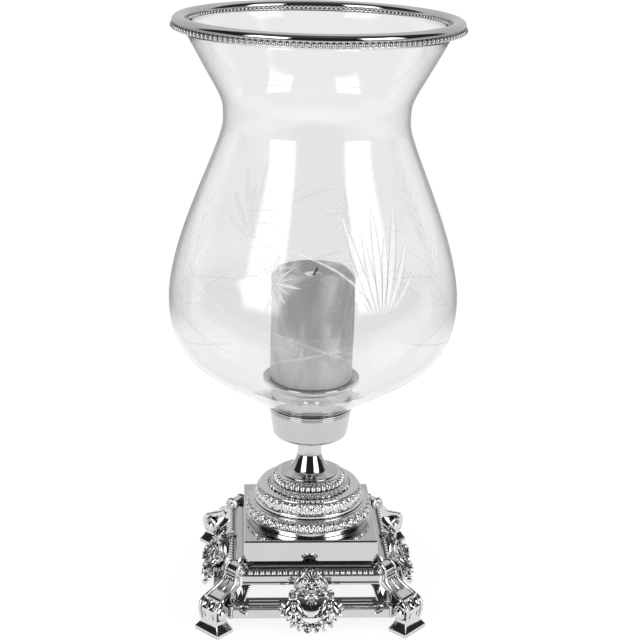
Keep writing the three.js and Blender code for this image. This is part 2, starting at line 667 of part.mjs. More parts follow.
// Garland hung from both sides of the mask in front of the rail
function garland() {
  const out = railOut + FIT_GAP + GARLAND_RADIUS + GARLAND_SWELL;
  const jaw = MASK_CENTRE - MASK_HALF_HEIGHT / 2;
  const jowl = MASK_HALF_WIDTH * (1 + MASK_TAPER / 5);
  const start = jowl + GARLAND_TIP * (GARLAND_RADIUS + GARLAND_SWELL) + FIT_GAP;
  const widest = jaw - GARLAND_DROP * 0.62;
  const half = [
    new THREE.Vector3(start, -(maskBack + MASK_DOME), jaw),
    new THREE.Vector3(GARLAND_HALF_WIDTH * 0.96, -(out - GARLAND_RADIUS / 2), jaw - GARLAND_DROP * 0.28),
    new THREE.Vector3(GARLAND_HALF_WIDTH, -out, widest),
    new THREE.Vector3(GARLAND_HALF_WIDTH * 0.62, -out, jaw - GARLAND_DROP * 0.9),
  ];
  const bottom = new THREE.Vector3(0, -out, jaw - GARLAND_DROP);
  const mirrored = half.map((p) => new THREE.Vector3(-p.x, p.y, p.z)).reverse();
  const path = new THREE.CatmullRomCurve3([...half, bottom, ...mirrored]);
  const steps = 3 * GARLAND_LUMPS;
  const sides = 5;
  const frames = path.computeFrenetFrames(steps, false);
  const rings = Array.from({ length: steps + 1 }, (_, i) => {
    const at = path.getPointAt(i / steps);
    const taper = Math.min(1, GARLAND_TIP + (4 * Math.min(i, steps - i)) / steps);
    const r = taper * (GARLAND_RADIUS + GARLAND_SWELL * Math.cos((i * 2 * Math.PI) / 3));
    return Array.from({ length: sides }, (_, j) => {
      const a = (j / sides) * 2 * Math.PI;
      return at.clone().addScaledVector(frames.normals[i], r * Math.cos(a))
        .addScaledVector(frames.binormals[i], r * Math.sin(a));
    });
  });
  const sprigOut = railOut + 2 * FIT_GAP + SPRIG[1];
  const sprigs = [-1, 1].flatMap((side) => SPRIG_LEANS.map((lean) => {
    const leaf = new THREE.OctahedronGeometry(1).scale(...SPRIG);
    leaf.rotateY(THREE.MathUtils.degToRad(-side * lean));
    return leaf.translate(side * (GARLAND_HALF_WIDTH + SPRIG[0]), -sprigOut, widest + lean / 8);
  }));
  return join(loft(rings), ...sprigs);
}

function plinthCover() {
  const shell = squareTurn([
    [0, plinthTop - PLINTH_WALL],
    [plinthTopHalf - PLINTH_WALL, plinthTop - PLINTH_WALL],
    [plinthHalf - PLINTH_WALL, plinthFoot],
    [plinthHalf, plinthFoot],
    [plinthTopHalf, plinthTop - PLINTH_CHAMFER],
    [plinthTopHalf - PLINTH_CHAMFER, plinthTop],
    [0, plinthTop],
  ]);
  return cut(shell, upright(rodHole, plinthFoot, plinthTop + PLINTH_WALL));
}

// Turned ring whose levels are [radius, height, relief], the relief a wave of lobes
function lobedRing(levels, lobes, steps, wave) {
  const count = lobes * steps;
  return loft(levels.map(([r, z, relief]) => Array.from({ length: count }, (_, j) => {
    const angle = (j / count) * 2 * Math.PI;
    const radius = r + relief * wave((j % steps) / steps);
    return new THREE.Vector3(radius * Math.cos(angle), radius * Math.sin(angle), z);
  })));
}

const lobe = (f) => Math.sin(f * Math.PI) - 1;

function hollowedRing(ring, foot, height) {
  const hollow = upright(TIER_BORE, foot - TIER_PLATE, foot + height - TIER_PLATE, ROUND);
  return cut(ring, hollow, upright(rodHole, foot - TIER_PLATE, foot + height + TIER_PLATE));
}

function lowerTier() {
  const z = (f) => lowerTierFoot + LOWER_TIER_HEIGHT * f;
  const swell = LOWER_TIER_BULGE - LOWER_TIER_TOP;
  const leaf = arcPoints(0, 0, 1, 0, 90, 3).map(([x, y]) => [
    LOWER_TIER_TOP + swell * x,
    z(0.38) + LOWER_TIER_HEIGHT * 0.55 * y,
    LEAF_RELIEF,
  ]);
  const ring = lobedRing([
    [LOWER_TIER_FOOT, z(0), 0],
    [LOWER_TIER_FOOT, z(0.24), 0],
    [LOWER_TIER_BULGE - 0.4, z(0.33), 0],
    ...leaf,
    [LOWER_TIER_TOP, z(1), 0],
  ], LEAF_COUNT, 2, lobe);
  return hollowedRing(ring, lowerTierFoot, LOWER_TIER_HEIGHT);
}

function upperTier() {
  const z = (f) => upperTierFoot + UPPER_TIER_HEIGHT * f;
  const middle = (UPPER_TIER_FOOT + UPPER_TIER_TOP) / 2 + 0.8;
  const ring = lobedRing([
    [UPPER_TIER_FOOT, z(0), 0],
    [UPPER_TIER_FOOT, z(0.12), 0],
    [UPPER_TIER_FOOT - 0.3, z(0.18), LEAF_RELIEF],
    [middle, z(0.5), LEAF_RELIEF],
    [UPPER_TIER_TOP - 0.6, z(0.8), LEAF_RELIEF],
    [UPPER_TIER_TOP, z(0.84), 0],
    [UPPER_TIER_TOP, z(1), 0],
  ], LEAF_COUNT, 2, lobe);
  return hollowedRing(ring, upperTierFoot, UPPER_TIER_HEIGHT);
}

// Gadrooned ring under the stem, with a skirt of leaf tips at its foot
function flutedCollar() {
  const z = (f) => collarFoot + COLLAR_HEIGHT * f;
  const ring = lobedRing([
    [COLLAR_SKIRT, z(0), 2 * FLUTE_DEPTH],
    [COLLAR_SKIRT - 0.6, z(0.1), 2 * FLUTE_DEPTH],
    [COLLAR_SHOULDER, z(0.3), 0],
    [COLLAR_SHOULDER + 0.4, z(0.42), FLUTE_DEPTH],
    [COLLAR_SHOULDER - 1, z(0.72), FLUTE_DEPTH],
    [COLLAR_TOP, z(1), 0],
  ], FLUTE_COUNT, 2, lobe);
  return cut(ring, upright(rodHole, collarFoot - TIER_PLATE, stemFoot + TIER_PLATE));
}

function stem() {
  const top = stemFoot + STEM_HEIGHT;
  const neckFoot = top - STEM_NECK_HEIGHT;
  const edge = stemFoot + STEM_EDGE;
  const rise = neckFoot - edge;
  const [inwards, footPull, neckPull] = STEM_SWEEP;
  const sweep = new THREE.CubicBezierCurve(
    new THREE.Vector2(STEM_FLANGE - STEM_EDGE, edge),
    new THREE.Vector2(STEM_FLANGE - (STEM_FLANGE - STEM_NECK) * inwards, edge + rise * footPull),
    new THREE.Vector2(STEM_NECK, edge + rise * neckPull),
    new THREE.Vector2(STEM_NECK, neckFoot),
  );
  return revolve([
    [rodHole, stemFoot],
    [STEM_FLANGE, stemFoot],
    [STEM_FLANGE, edge],
    ...sweep.getPoints(4).map((p) => [p.x, p.y]),
    [STEM_NECK, top],
    [rodHole, top],
    [rodHole, stemFoot],
  ]);
}

// Inner radius of the cup's taper at a height
function cupInside(z) {
  return THREE.MathUtils.mapLinear(z, cupFoot, cupTop, CUP_BOTTOM, CUP_TOP) - CUP_WALL;
}

function socketCup() {
  const floor = cupFoot + CUP_FLOOR;
  return revolve([
    [rodHole, cupFoot],
    ...arcPoints(CUP_BOTTOM - CUP_ROUND, cupFoot + CUP_ROUND, CUP_ROUND, -90, 0, 2),
    [CUP_TOP, cupTop - 2 * CUP_LIP],
    [CUP_TOP, cupTop - CUP_LIP],
    [CUP_TOP - CUP_LIP, cupTop],
    [cupInside(cupTop), cupTop],
    [cupInside(floor), floor],
    [rodHole, floor],
    [rodHole, cupFoot],
  ], ROUND);
}

const washerTop = deckUnder - FIT_GAP;
const rodNutTop = washerTop - WASHER_THICKNESS - FIT_GAP;
const cupNutFoot = cupFoot + CUP_FLOOR + FIT_GAP;

function tieRod() {
  const low = rodNutTop - NUT_HEIGHT - ROD_TIP;
  const high = cupNutFoot + NUT_HEIGHT + ROD_TIP;
  const chamfer = ROD_TIP / 2;
  return revolve([
    [0, low],
    [ROD_RADIUS - chamfer, low],
    [ROD_RADIUS, low + chamfer],
    [ROD_RADIUS, high - chamfer],
    [ROD_RADIUS - chamfer, high],
    [0, high],
  ], SMALL_ROUND);
}

function hexNut(foot) {
  const body = upright(NUT_RADIUS, foot, foot + NUT_HEIGHT, 6);
  return cut(body, upright(rodHole, foot - FIT_GAP, foot + NUT_HEIGHT + FIT_GAP));
}

function rodWasher() {
  const low = washerTop - WASHER_THICKNESS;
  return revolve([
    [rodHole, low],
    [WASHER_RADIUS, low],
    [WASHER_RADIUS, washerTop],
    [rodHole, washerTop],
    [rodHole, low],
  ], SMALL_ROUND);
}

const neckFoot = cupInside(shadeFoot) - GLASS_GAP;
const neckTop = cupInside(cupTop) - GLASS_GAP;
const neckHeight = cupTop - shadeFoot + GLASS_GAP;

function seatGasket() {
  const top = gasketFoot + GASKET_HEIGHT;
  const outer = cupInside(gasketFoot) - FIT_GAP;
  const inner = neckFoot - 2 * SHADE_WALL;
  return revolve([
    [inner, gasketFoot],
    [outer, gasketFoot],
    [outer, top],
    [inner, top],
    [inner, gasketFoot],
  ]);
}

// Outer outline of the glass from foot to lip: neck, belly, waist and flared mouth
function shadeOutline() {
  const at = (r, h) => new THREE.Vector2(r, shadeFoot + h);
  const path = new THREE.CurvePath();
  path.add(new THREE.CubicBezierCurve(
    at(neckTop, neckHeight),
    at(neckTop + NECK_HANDLE[0], neckHeight + NECK_HANDLE[1]),
    at(SHADE_BELLY, SHADE_BELLY_HEIGHT - BELLY_HANDLE_LOW),
    at(SHADE_BELLY, SHADE_BELLY_HEIGHT),
  ));
  path.add(new THREE.CubicBezierCurve(
    at(SHADE_BELLY, SHADE_BELLY_HEIGHT),
    at(SHADE_BELLY, SHADE_BELLY_HEIGHT + BELLY_HANDLE_HIGH),
    at(SHADE_WAIST, SHADE_WAIST_HEIGHT - WAIST_HANDLE_LOW),
    at(SHADE_WAIST, SHADE_WAIST_HEIGHT),
  ));
  path.add(new THREE.CubicBezierCurve(
    at(SHADE_WAIST, SHADE_WAIST_HEIGHT),
    at(SHADE_WAIST, SHADE_WAIST_HEIGHT + WAIST_HANDLE_HIGH),
    at(SHADE_LIP - LIP_HANDLE[0], SHADE_HEIGHT - LIP_HANDLE[1]),
    at(SHADE_LIP, SHADE_HEIGHT),
  ));
  const points = path.curves.flatMap((curve, i) => curve.getPoints(SHADE_STEPS[i]).slice(i ? 1 : 0));
  return [at(neckFoot, 0), ...points];
}

// The outline moved inwards by the wall
function shadeInside(wall) {
  const outer = shadeOutline();
  return outer.map((p, i) => {
    const before = outer[Math.max(0, i - 1)];
    const after = outer[Math.min(outer.length - 1, i + 1)];
    const along = after.clone().sub(before).normalize();
    const level = i === 0 || i === outer.length - 1;
    const across = level ? new THREE.Vector2(-1 / along.y, 0) : new THREE.Vector2(-along.y, along.x);
    return p.clone().addScaledVector(across, wall);
  });
}

function glassShade() {
  const outline = [...shadeOutline(), ...shadeInside(SHADE_WALL).reverse()].map((p) => [p.x, p.y]);
  return revolve([...outline, outline[0]], SHADE_FACETS);
}

// The lip of the glass and the roll round it
const lipSlope = LIP_HANDLE[0] / LIP_HANDLE[1];
const lipTop = shadeFoot + SHADE_HEIGHT;
const lipInside = SHADE_LIP - SHADE_WALL * Math.hypot(1, lipSlope);
const rollCentre = { r: SHADE_LIP + RIM_OVERHANG, z: lipTop + RIM_OVERHANG };
const rollFoot = lipTop - RIM_GRIP;
const innerLipFoot = lipInside - GLASS_GAP - RIM_INNER_LIP * lipSlope;

// Rolled ring that grips the lip of the glass between its roll and a thin inner lip
function rimCollar() {
  const { r, z } = rollCentre;
  const from = THREE.MathUtils.radToDeg(Math.asin((rollFoot - z) / RIM_ROLL));
  const outline = [
    [SHADE_LIP + GLASS_GAP, rollFoot],
    ...arcPoints(r, z, RIM_ROLL, from, 175, 5),
    [innerLipFoot - RIM_SHEET, lipTop - RIM_INNER_LIP],
    [innerLipFoot, lipTop - RIM_INNER_LIP - FIT_GAP],
    [lipInside - GLASS_GAP, lipTop + FIT_GAP],
    [SHADE_LIP + GLASS_GAP, lipTop + FIT_GAP],
  ];
  return revolve([...outline, outline[0]], SHADE_FACETS);
}

function beading(radius, middle, height) {
  const ring = arcPoints(middle, height, radius, 0, 360, 4);
  return revolve(ring, SHADE_FACETS);
}

function outerBeading() {
  return beading(OUTER_BEADING, rollCentre.r + RIM_OVERHANG / 2, rollFoot - FIT_GAP - OUTER_BEADING);
}

function innerBeading() {
  const middle = innerLipFoot - RIM_SHEET - INNER_BEADING / 2;
  return beading(INNER_BEADING, middle, lipTop - RIM_INNER_LIP - FIT_GAP - INNER_BEADING);
}

// Inner radius of the neck of the glass at a height
function neckInside(z) {
  return THREE.MathUtils.mapLinear(z, shadeFoot, shadeFoot + neckHeight, neckFoot, neckTop) - SHADE_WALL;
}

// Drip pan: floor, rolled rim, tapered wall and a spigot in the neck of the glass
function candlePan() {
  const floor = shadeFoot + PAN_FLOOR_HEIGHT;
  const seat = shadeFoot + neckHeight + SHADE_WALL;
  const shoulder = seat + PAN_SHOULDER;
  const spigotFoot = seat - PAN_SPIGOT_LENGTH;
  const spigot = (z) => neckInside(z) - GLASS_GAP;
  const waist = floor - PAN_TAPER;
  const rim = arcPoints(PAN_RIM - PAN_RIM_ROLL, floor, PAN_RIM_ROLL, -60, 150, 3);
  return revolve([
    [0, floor - PAN_WALL],
    [PAN_WAIST - PAN_WALL, floor - PAN_WALL],
    [PAN_WAIST - PAN_WALL, waist],
    [spigot(seat), shoulder],
    [spigot(seat) - PAN_WALL, seat],
    [spigot(spigotFoot) - PAN_WALL, spigotFoot],
    [spigot(spigotFoot), spigotFoot],
    [spigot(seat), seat],
    [PAN_WAIST - PAN_WALL, shoulder],
    [PAN_WAIST, waist],
    ...rim,
    [CANDLE_RADIUS + PAN_RIM_ROLL, floor],
    [0, floor],
  ], ROUND);
}

function candle() {
  const top = candleFoot + CANDLE_HEIGHT;
  const wickHole = WICK_RADIUS + FIT_GAP;
  const crown = CANDLE_RADIUS - CANDLE_SHOULDER;
  const shoulder = arcPoints(crown, top - CANDLE_SHOULDER, CANDLE_SHOULDER, 0, 100, 2);
  const dip = top - CANDLE_DIP;
  return revolve([
    [0, candleFoot],
    [CANDLE_RADIUS - 1, candleFoot],
    [CANDLE_RADIUS, candleFoot + 1],
    ...shoulder,
    [CANDLE_RADIUS * 0.45, dip + CANDLE_DIP * 0.25],
    [wickHole, dip],
    [wickHole, dip - WICK_IN - FIT_GAP],
    [0, dip - WICK_IN - FIT_GAP],
  ], ROUND);
}

function wick() {
  const dip = candleFoot + CANDLE_HEIGHT - CANDLE_DIP;
  const path = new THREE.CatmullRomCurve3([
    new THREE.Vector3(0, 0, dip - WICK_IN),
    new THREE.Vector3(0, 0, dip + WICK_OUT * 0.2),
    new THREE.Vector3(WICK_OUT * 0.1, 0, dip + WICK_OUT * 0.6),
    new THREE.Vector3(WICK_OUT * 0.4, 0, dip + WICK_OUT),
  ]);
  const shape = new THREE.Shape().absarc(0, 0, WICK_RADIUS, 0, 2 * Math.PI);
  return new THREE.ExtrudeGeometry(shape, { steps: 6, curveSegments: 3, extrudePath: path });
}

const lantern = new THREE.Group();

function place(name, geometry, finish, turn = 0) {
  const shaped = clean(geometry.clone());
  shaped.computeVertexNormals();
  const mesh = new THREE.Mesh(shaped, new THREE.MeshStandardMaterial(finish));
  mesh.name = name;
  mesh.rotation.z = THREE.MathUtils.degToRad(turn);
  lantern.add(mesh);
}

const CORNERS = { front_right: -45, back_right: 45, back_left: 135, front_left: 225 };
const SIDES = { front: 0, right: 90, back: 180, left: 270 };

const legShape = leg();
const legScrewShape = legScrew();
for (const [corner, turn] of Object.entries(CORNERS)) {
  place(`leg_${corner}`, legShape, silver, turn);
  place(`leg_screw_${corner}`, legScrewShape, steel, turn);
}
const sideShapes = {
  side_panel: [sidePanel(), silver],
  bead_strip: [beadStrip(), silver],
  mask: [mask(), silver],
  mask_screw: [maskScrew(), steel],
  garland: [garland(), silver],
};
for (const [piece, [shape, finish]] of Object.entries(sideShapes)) {
  for (const [side, turn] of Object.entries(SIDES)) {
    place(`${piece}_${side}`, shape, finish, turn);
  }
}
place('tray', tray(), silver);
place('plinth_cover', plinthCover(), silver);
place('lower_tier', lowerTier(), silver);
place('upper_tier', upperTier(), silver);
place('fluted_collar', flutedCollar(), silver);
place('stem', stem(), silver);
place('socket_cup', socketCup(), silver);
place('tie_rod', tieRod(), steel);
place('rod_washer', rodWasher(), steel);
place('rod_nut', hexNut(rodNutTop - NUT_HEIGHT), steel);
place('cup_nut', hexNut(cupNutFoot), steel);
place('seat_gasket', seatGasket(), cork);
place('glass_shade', glassShade(), glass);
place('rim_collar', rimCollar(), silver);
place('rim_outer_beading', outerBeading(), silver);
place('rim_inner_beading', innerBeading(), silver);
place('candle_pan', candlePan(), silver);
place('candle', candle(), wax);
place('wick', wick(), char);

export default lantern;
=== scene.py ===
"""Hurricane lantern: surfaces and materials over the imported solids.

Shapes are worked out in millimetres and made in metres, +Z up, front towards -Y.
"""
import math

import bmesh
import bpy
import numpy as np
from mathutils import Matrix, Vector


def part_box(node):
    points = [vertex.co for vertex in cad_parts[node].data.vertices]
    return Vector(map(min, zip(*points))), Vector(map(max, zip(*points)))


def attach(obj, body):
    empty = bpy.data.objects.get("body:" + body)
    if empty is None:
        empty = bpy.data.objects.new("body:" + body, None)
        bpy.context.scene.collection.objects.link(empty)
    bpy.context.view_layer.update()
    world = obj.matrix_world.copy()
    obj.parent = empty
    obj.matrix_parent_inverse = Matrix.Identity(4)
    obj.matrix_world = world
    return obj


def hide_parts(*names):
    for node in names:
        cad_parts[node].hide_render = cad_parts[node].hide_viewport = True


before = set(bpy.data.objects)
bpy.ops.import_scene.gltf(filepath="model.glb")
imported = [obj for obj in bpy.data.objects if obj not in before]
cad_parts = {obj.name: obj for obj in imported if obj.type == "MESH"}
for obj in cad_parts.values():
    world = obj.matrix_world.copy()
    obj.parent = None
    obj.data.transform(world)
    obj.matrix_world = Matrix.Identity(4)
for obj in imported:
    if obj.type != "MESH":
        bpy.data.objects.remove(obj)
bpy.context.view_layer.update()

MM = 0.001

# Radius of a profile's point on the axis, and the distance under which points join
AXIS, WELD = 0.01, 0.002
# Directions that no form lies along, to start a frame across it
ODD_WAY, NEAR_UP = (0.31, 0.87, 0.38), (0.2, 0.1, 0.97)

CORNERS = {"front_right": -45, "back_right": 45, "back_left": 135, "front_left": 225}
SIDES = {"front": 0, "right": 90, "back": 180, "left": 270}


def extent(name):
    """Lowest and highest corner of a CAD node in millimetres."""
    low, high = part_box(name)
    return np.array(low) / MM, np.array(high) / MM


def levels(name):
    """Foot and top of a CAD node in millimetres."""
    low, high = extent(name)
    return low[2], high[2]


# Curves of [radius, height] points

def arc(cx, cz, radius, start, end, steps):
    turn = np.radians(np.linspace(start, end, steps + 1))
    return np.stack([cx + radius * np.cos(turn), cz + radius * np.sin(turn)], 1)


def bezier(p0, p1, p2, p3, steps):
    t = np.linspace(0, 1, steps + 1)[:, None]
    a, b, c, d = (np.array(p, float) for p in (p0, p1, p2, p3))
    return (1 - t) ** 3 * a + 3 * (1 - t) ** 2 * t * b + 3 * (1 - t) * t * t * c + t ** 3 * d


def rounded(*corners, steps=4):
    """Line through (r, z) corners; a third number rounds that corner."""
    points = []
    for i, corner in enumerate(corners):
        here = np.array(corner[:2], float)
        if len(corner) < 3:
            points.append(here)
            continue
        a, b = (here + unit(np.array(other[:2], float) - here) * corner[2]
                for other in (corners[i - 1], corners[(i + 1) % len(corners)]))
        for t in np.linspace(0, 1, steps + 1):
            points.append((1 - t) ** 2 * a + 2 * t * (1 - t) * here + t * t * b)
    return np.array(points)


def cos_sin(degrees):
    return math.cos(math.radians(degrees)), math.sin(math.radians(degrees))


def unit(way):
    return way / np.linalg.norm(way)


def smoothstep(low, high, x):
    t = np.clip((x - low) / (high - low), 0, 1)
    return t * t * (3 - 2 * t)


def directions(path):
    """Unit steps along a line of points."""
    along = np.gradient(path, axis=0)
    return along / np.linalg.norm(along, axis=1, keepdims=True)


# Shapes: (points in millimetres, faces)

def skin(rings, loop=True, wrap=False, caps=False):
    """Quads over a stack of rings with the same number of points."""
    rings = np.asarray(rings, float)
    n, m = rings.shape[:2]
    rows = np.arange(n if wrap else n - 1)
    cols = np.arange(m if loop else m - 1)
    i, j = (g.ravel() for g in np.meshgrid(rows, cols, indexing="ij"))
    up, on = (i + 1) % n, (j + 1) % m
    faces = np.stack([i * m + j, i * m + on, up * m + on, up * m + j], 1).tolist()
    if caps:
        faces.append(list(range(m))[::-1])
        faces.append([(n - 1) * m + k for k in range(m)])
    return rings.reshape(-1, 3), faces


def merge(*shapes):
    points, faces, start = [], [], 0
    for p, f in shapes:
        points.append(p)
        faces += [[v + start for v in face] for face in f]
        start += len(p)
    return np.vstack(points), faces


def turned(shape, degrees):
    c, s = cos_sin(degrees)
    return shape[0] @ np.array([[c, s, 0], [-s, c, 0], [0, 0, 1]]), shape[1]


def lathe(profile, segments, closed=True, relief=None):
    """Profile of (r, z) turned about the axis; relief(angle, row) adds to the radius."""
    angle = np.linspace(0, 2 * np.pi, segments, endpoint=False)
    rings = []
    for row, (r, z) in enumerate(profile):
        radius = r + (relief(angle, row) if relief else 0 * angle)
        rings.append(np.stack([radius * np.sin(angle), -radius * np.cos(angle), 0 * angle + z], 1))
    return skin(rings, wrap=closed)


def square_turn(profile, corner, steps=3):
    """Profile of (half width, z) carried round a square with softly rounded corners."""
    rings = []
    for half, z in profile:
        soft = min(corner, half / 2)
        bend = arc(half - soft, half - soft, soft, 0, 90, steps)
        ring = []
        for k in range(4):
            c, s = cos_sin(90 * k)
            ring += [(x * c - y * s, x * s + y * c, z) for x, y in bend]
        rings.append(ring)
    return skin(rings)


def ball(centre, radius, around, rows):
    """Ball or, with three radii, ellipsoid."""
    lift = np.linspace(-np.pi / 2, np.pi / 2, rows + 1)[:, None]
    angle = np.linspace(0, 2 * np.pi, around, endpoint=False)
    flat, up = np.cos(lift), np.sin(lift) + 0 * angle
    sphere = np.stack([flat * np.cos(angle), flat * np.sin(angle), up], -1)
    return skin(np.array(centre) + sphere * np.array(radius))


def framed(shape, origin, x_axis, y_axis, z_axis):
    """Shape moved from its own axes to the given ones."""
    axes = np.array([x_axis, y_axis, z_axis], float)
    return shape[0] @ axes + np.array(origin), shape[1]


def laid(shape, root, along, out):
    """Shape laid from a root point, its length along one way and its face out."""
    return framed(shape, root, along, np.cross(out, along), out)


def tube(path, radius, sides):
    """Round tube along a path; radius is one number or one for each point."""
    path = np.asarray(path, float)
    along = directions(path)
    across = np.cross(along[0], ODD_WAY)
    turn = np.linspace(0, 2 * np.pi, sides, endpoint=False)[:, None]
    rings = []
    for p, t, r in zip(path, along, np.broadcast_to(radius, len(path))):
        across = unit(across - t * across.dot(t))
        rings.append(p + r * (np.cos(turn) * across + np.sin(turn) * np.cross(t, across)))
    return skin(rings, caps=True)


def leaf(length, width, thickness, curl=0.0, lobes=0, steps=10, taper=0.75):
    """Leaf along +X, ridged, lying on z = 0, its tip curled up by curl; a low taper makes it blunt."""
    s = np.linspace(0, 1, steps + 1)
    half = width / 2 * np.sin(np.pi * np.clip(s * 0.93 + 0.05, 0, 1)) ** taper
    if lobes:
        half = half * (1 - 0.22 * np.abs(np.sin(np.pi * lobes * s)))
    rings = []
    for x, h, z in zip(s * length, half, curl * s ** 2):
        t = thickness * min(1, h / (width / 2) + 0.15)
        ridge, vein, under = z + t * 0.85, z + t * 0.55, z - t * 0.2
        across = ((-h, z), (-h * 0.5, ridge), (0, vein), (h * 0.5, ridge), (h, z), (0, under))
        rings.append([(x, *corner) for corner in across])
    return skin(rings, caps=True)


# Materials

NOISE_SPAN = (0.3, 0.7)
# Dark wax for the middle band and for painted shade at the foot; pale wax for the specks and for painted
# glints.
WAX_DARK_AND_SHADE, WAX_SPECK_AND_GLINT = (0.29, 0.29, 0.285, 1), (0.9, 0.9, 0.89, 1)


def new_material(name):
    material = bpy.data.materials.new(name)
    material.use_nodes = True
    material.node_tree.nodes.clear()
    return material, material.node_tree


def node(tree, kind, inputs=None, **settings):
    """New node; an input is a value or another node's socket."""
    made = tree.nodes.new(kind)
    for key, value in settings.items():
        setattr(made, key, value)
    for key, value in (inputs or {}).items():
        if isinstance(value, bpy.types.NodeSocket):
            tree.links.new(value, made.inputs[key])
        else:
            made.inputs[key].default_value = value
    return made


def finish_surface(material, shader):
    node(material.node_tree, "ShaderNodeOutputMaterial", {"Surface": shader})
    return material


def principled(tree, inputs):
    return node(tree, "ShaderNodeBsdfPrincipled", inputs).outputs["BSDF"]


def calc(tree, operation, *values):
    return node(tree, "ShaderNodeMath", dict(enumerate(values)), operation=operation).outputs["Value"]


def distance(tree, place):
    """Distance of a place from the origin, in metres."""
    return node(tree, "ShaderNodeVectorMath", {0: place}, operation="LENGTH").outputs["Value"]


def blend(tree, factor, a, b, **settings):
    """Mix of two levels, or of two colours where data_type says so."""
    return node(tree, "ShaderNodeMix", {"Factor": factor, "A": a, "B": b}, **settings).outputs["Result"]


def relief_normal(tree, height, strength, depth):
    """Normal bent by a height, depth in metres."""
    return node(tree, "ShaderNodeBump", {
        "Height": height, "Strength": strength, "Distance": depth,
    }).outputs["Normal"]


def noise(tree, scale, detail=2.0, vector=None, distortion=0.0):
    place = vector or node(tree, "ShaderNodeTexCoord").outputs["Object"]
    return node(tree, "ShaderNodeTexNoise", {
        "Vector": place, "Scale": scale, "Detail": detail, "Distortion": distortion,
    }).outputs["Fac"]


def ray(tree, kind):
    """1 for light on that kind of path."""
    return node(tree, "ShaderNodeLightPath").outputs[f"Is {kind} Ray"]


def ramp(tree, fac, *stops):
    """Colour ramp with (place, grey) stops."""
    made = node(tree, "ShaderNodeValToRGB", {"Fac": fac})
    band = made.color_ramp
    while len(band.elements) < len(stops):
        band.elements.new(0.5)
    for element, (place, grey) in zip(band.elements, stops):
        element.position = place
        element.color = (grey, grey, grey, 1)
    return made.outputs["Color"]


def remap(tree, value, low, high, out_low, out_high):
    """Value carried softly from one range to another."""
    return node(tree, "ShaderNodeMapRange", {
        "Value": value, "From Min": low, "From Max": high, "To Min": out_low, "To Max": out_high,
    }, interpolation_type="SMOOTHSTEP").outputs["Result"]


def uneven(tree, scale, detail, low, high):
    """Level that wanders between low and high."""
    return remap(tree, noise(tree, scale, detail), *NOISE_SPAN, low, high)


def mottled(tree, scale, detail, dark, light):
    """Grey that wanders between dark and light."""
    return ramp(tree, noise(tree, scale, detail), (NOISE_SPAN[0], dark), (NOISE_SPAN[1], light))


def silver(name, bright, roughness, grain, painted_shade_depth=None):
    """Polished plate; the last argument is the depth in metres over which painted shade darkens the colour
    in hollows.
    """
    material, tree = new_material(name)
    tone = mottled(tree, 38.0, 4.0, bright * 0.97, bright)
    if painted_shade_depth:
        # Painted shade: ambient occlusion darkens the plate's colour in hollows and between parts.
        occlusion = node(tree, "ShaderNodeAmbientOcclusion", {"Distance": painted_shade_depth}, samples=6)
        dark = ramp(tree, occlusion.outputs["AO"], (0.25, 0.10), (0.8, 1.0))
        tone = blend(tree, 1.0, tone, dark, data_type="RGBA", blend_type="MULTIPLY")
    return finish_surface(material, principled(tree, {
        "Base Color": tone, "Metallic": 1.0,
        "Roughness": uneven(tree, 160.0, 3.0, roughness * 0.7, roughness * 1.4),
        "Normal": relief_normal(tree, noise(tree, 420.0), grain, 0.0002),
    }))


def glass_material():
    """Clear blown glass, faintly wavy, that lets lamp light through without bending it."""
    material, tree = new_material("clear_glass")
    body = principled(tree, {
        "Base Color": (0.985, 0.99, 0.99, 1), "Roughness": 0.0, "IOR": 1.5, "Transmission Weight": 1.0,
        "Normal": relief_normal(tree, noise(tree, 9.0, 1.0, distortion=0.4), 0.06, 0.002),
    })
    lamp_ray = calc(tree, "MAXIMUM", ray(tree, "Shadow"), ray(tree, "Diffuse"))
    clear = node(tree, "ShaderNodeBsdfTransparent", {"Color": (0.95, 0.96, 0.96, 1)}).outputs["BSDF"]
    mixed = node(tree, "ShaderNodeMixShader", {0: lamp_ray, 1: body, 2: clear})
    return finish_surface(material, mixed.outputs["Shader"])


def cut_glass_material(name, grey, clear, faint, strong):
    """Ground facets of the wheel-cut sprays: a frosted veil over tinted clear glass."""
    material, tree = new_material(name)
    frost = principled(tree, {
        "Base Color": (grey, grey, grey, 1), "Roughness": uneven(tree, 300.0, 2.0, 0.4, 0.6),
        "Specular IOR Level": 0.3, "Normal": relief_normal(tree, noise(tree, 700.0), 0.15, 0.0001),
    })
    open_glass = node(tree, "ShaderNodeBsdfTransparent", {"Color": (clear, clear, clear, 1)}).outputs["BSDF"]
    veil = uneven(tree, 160.0, 3.0, faint, strong)
    mixed = node(tree, "ShaderNodeMixShader", {0: veil, 1: open_glass, 2: frost})
    return finish_surface(material, mixed.outputs["Shader"])


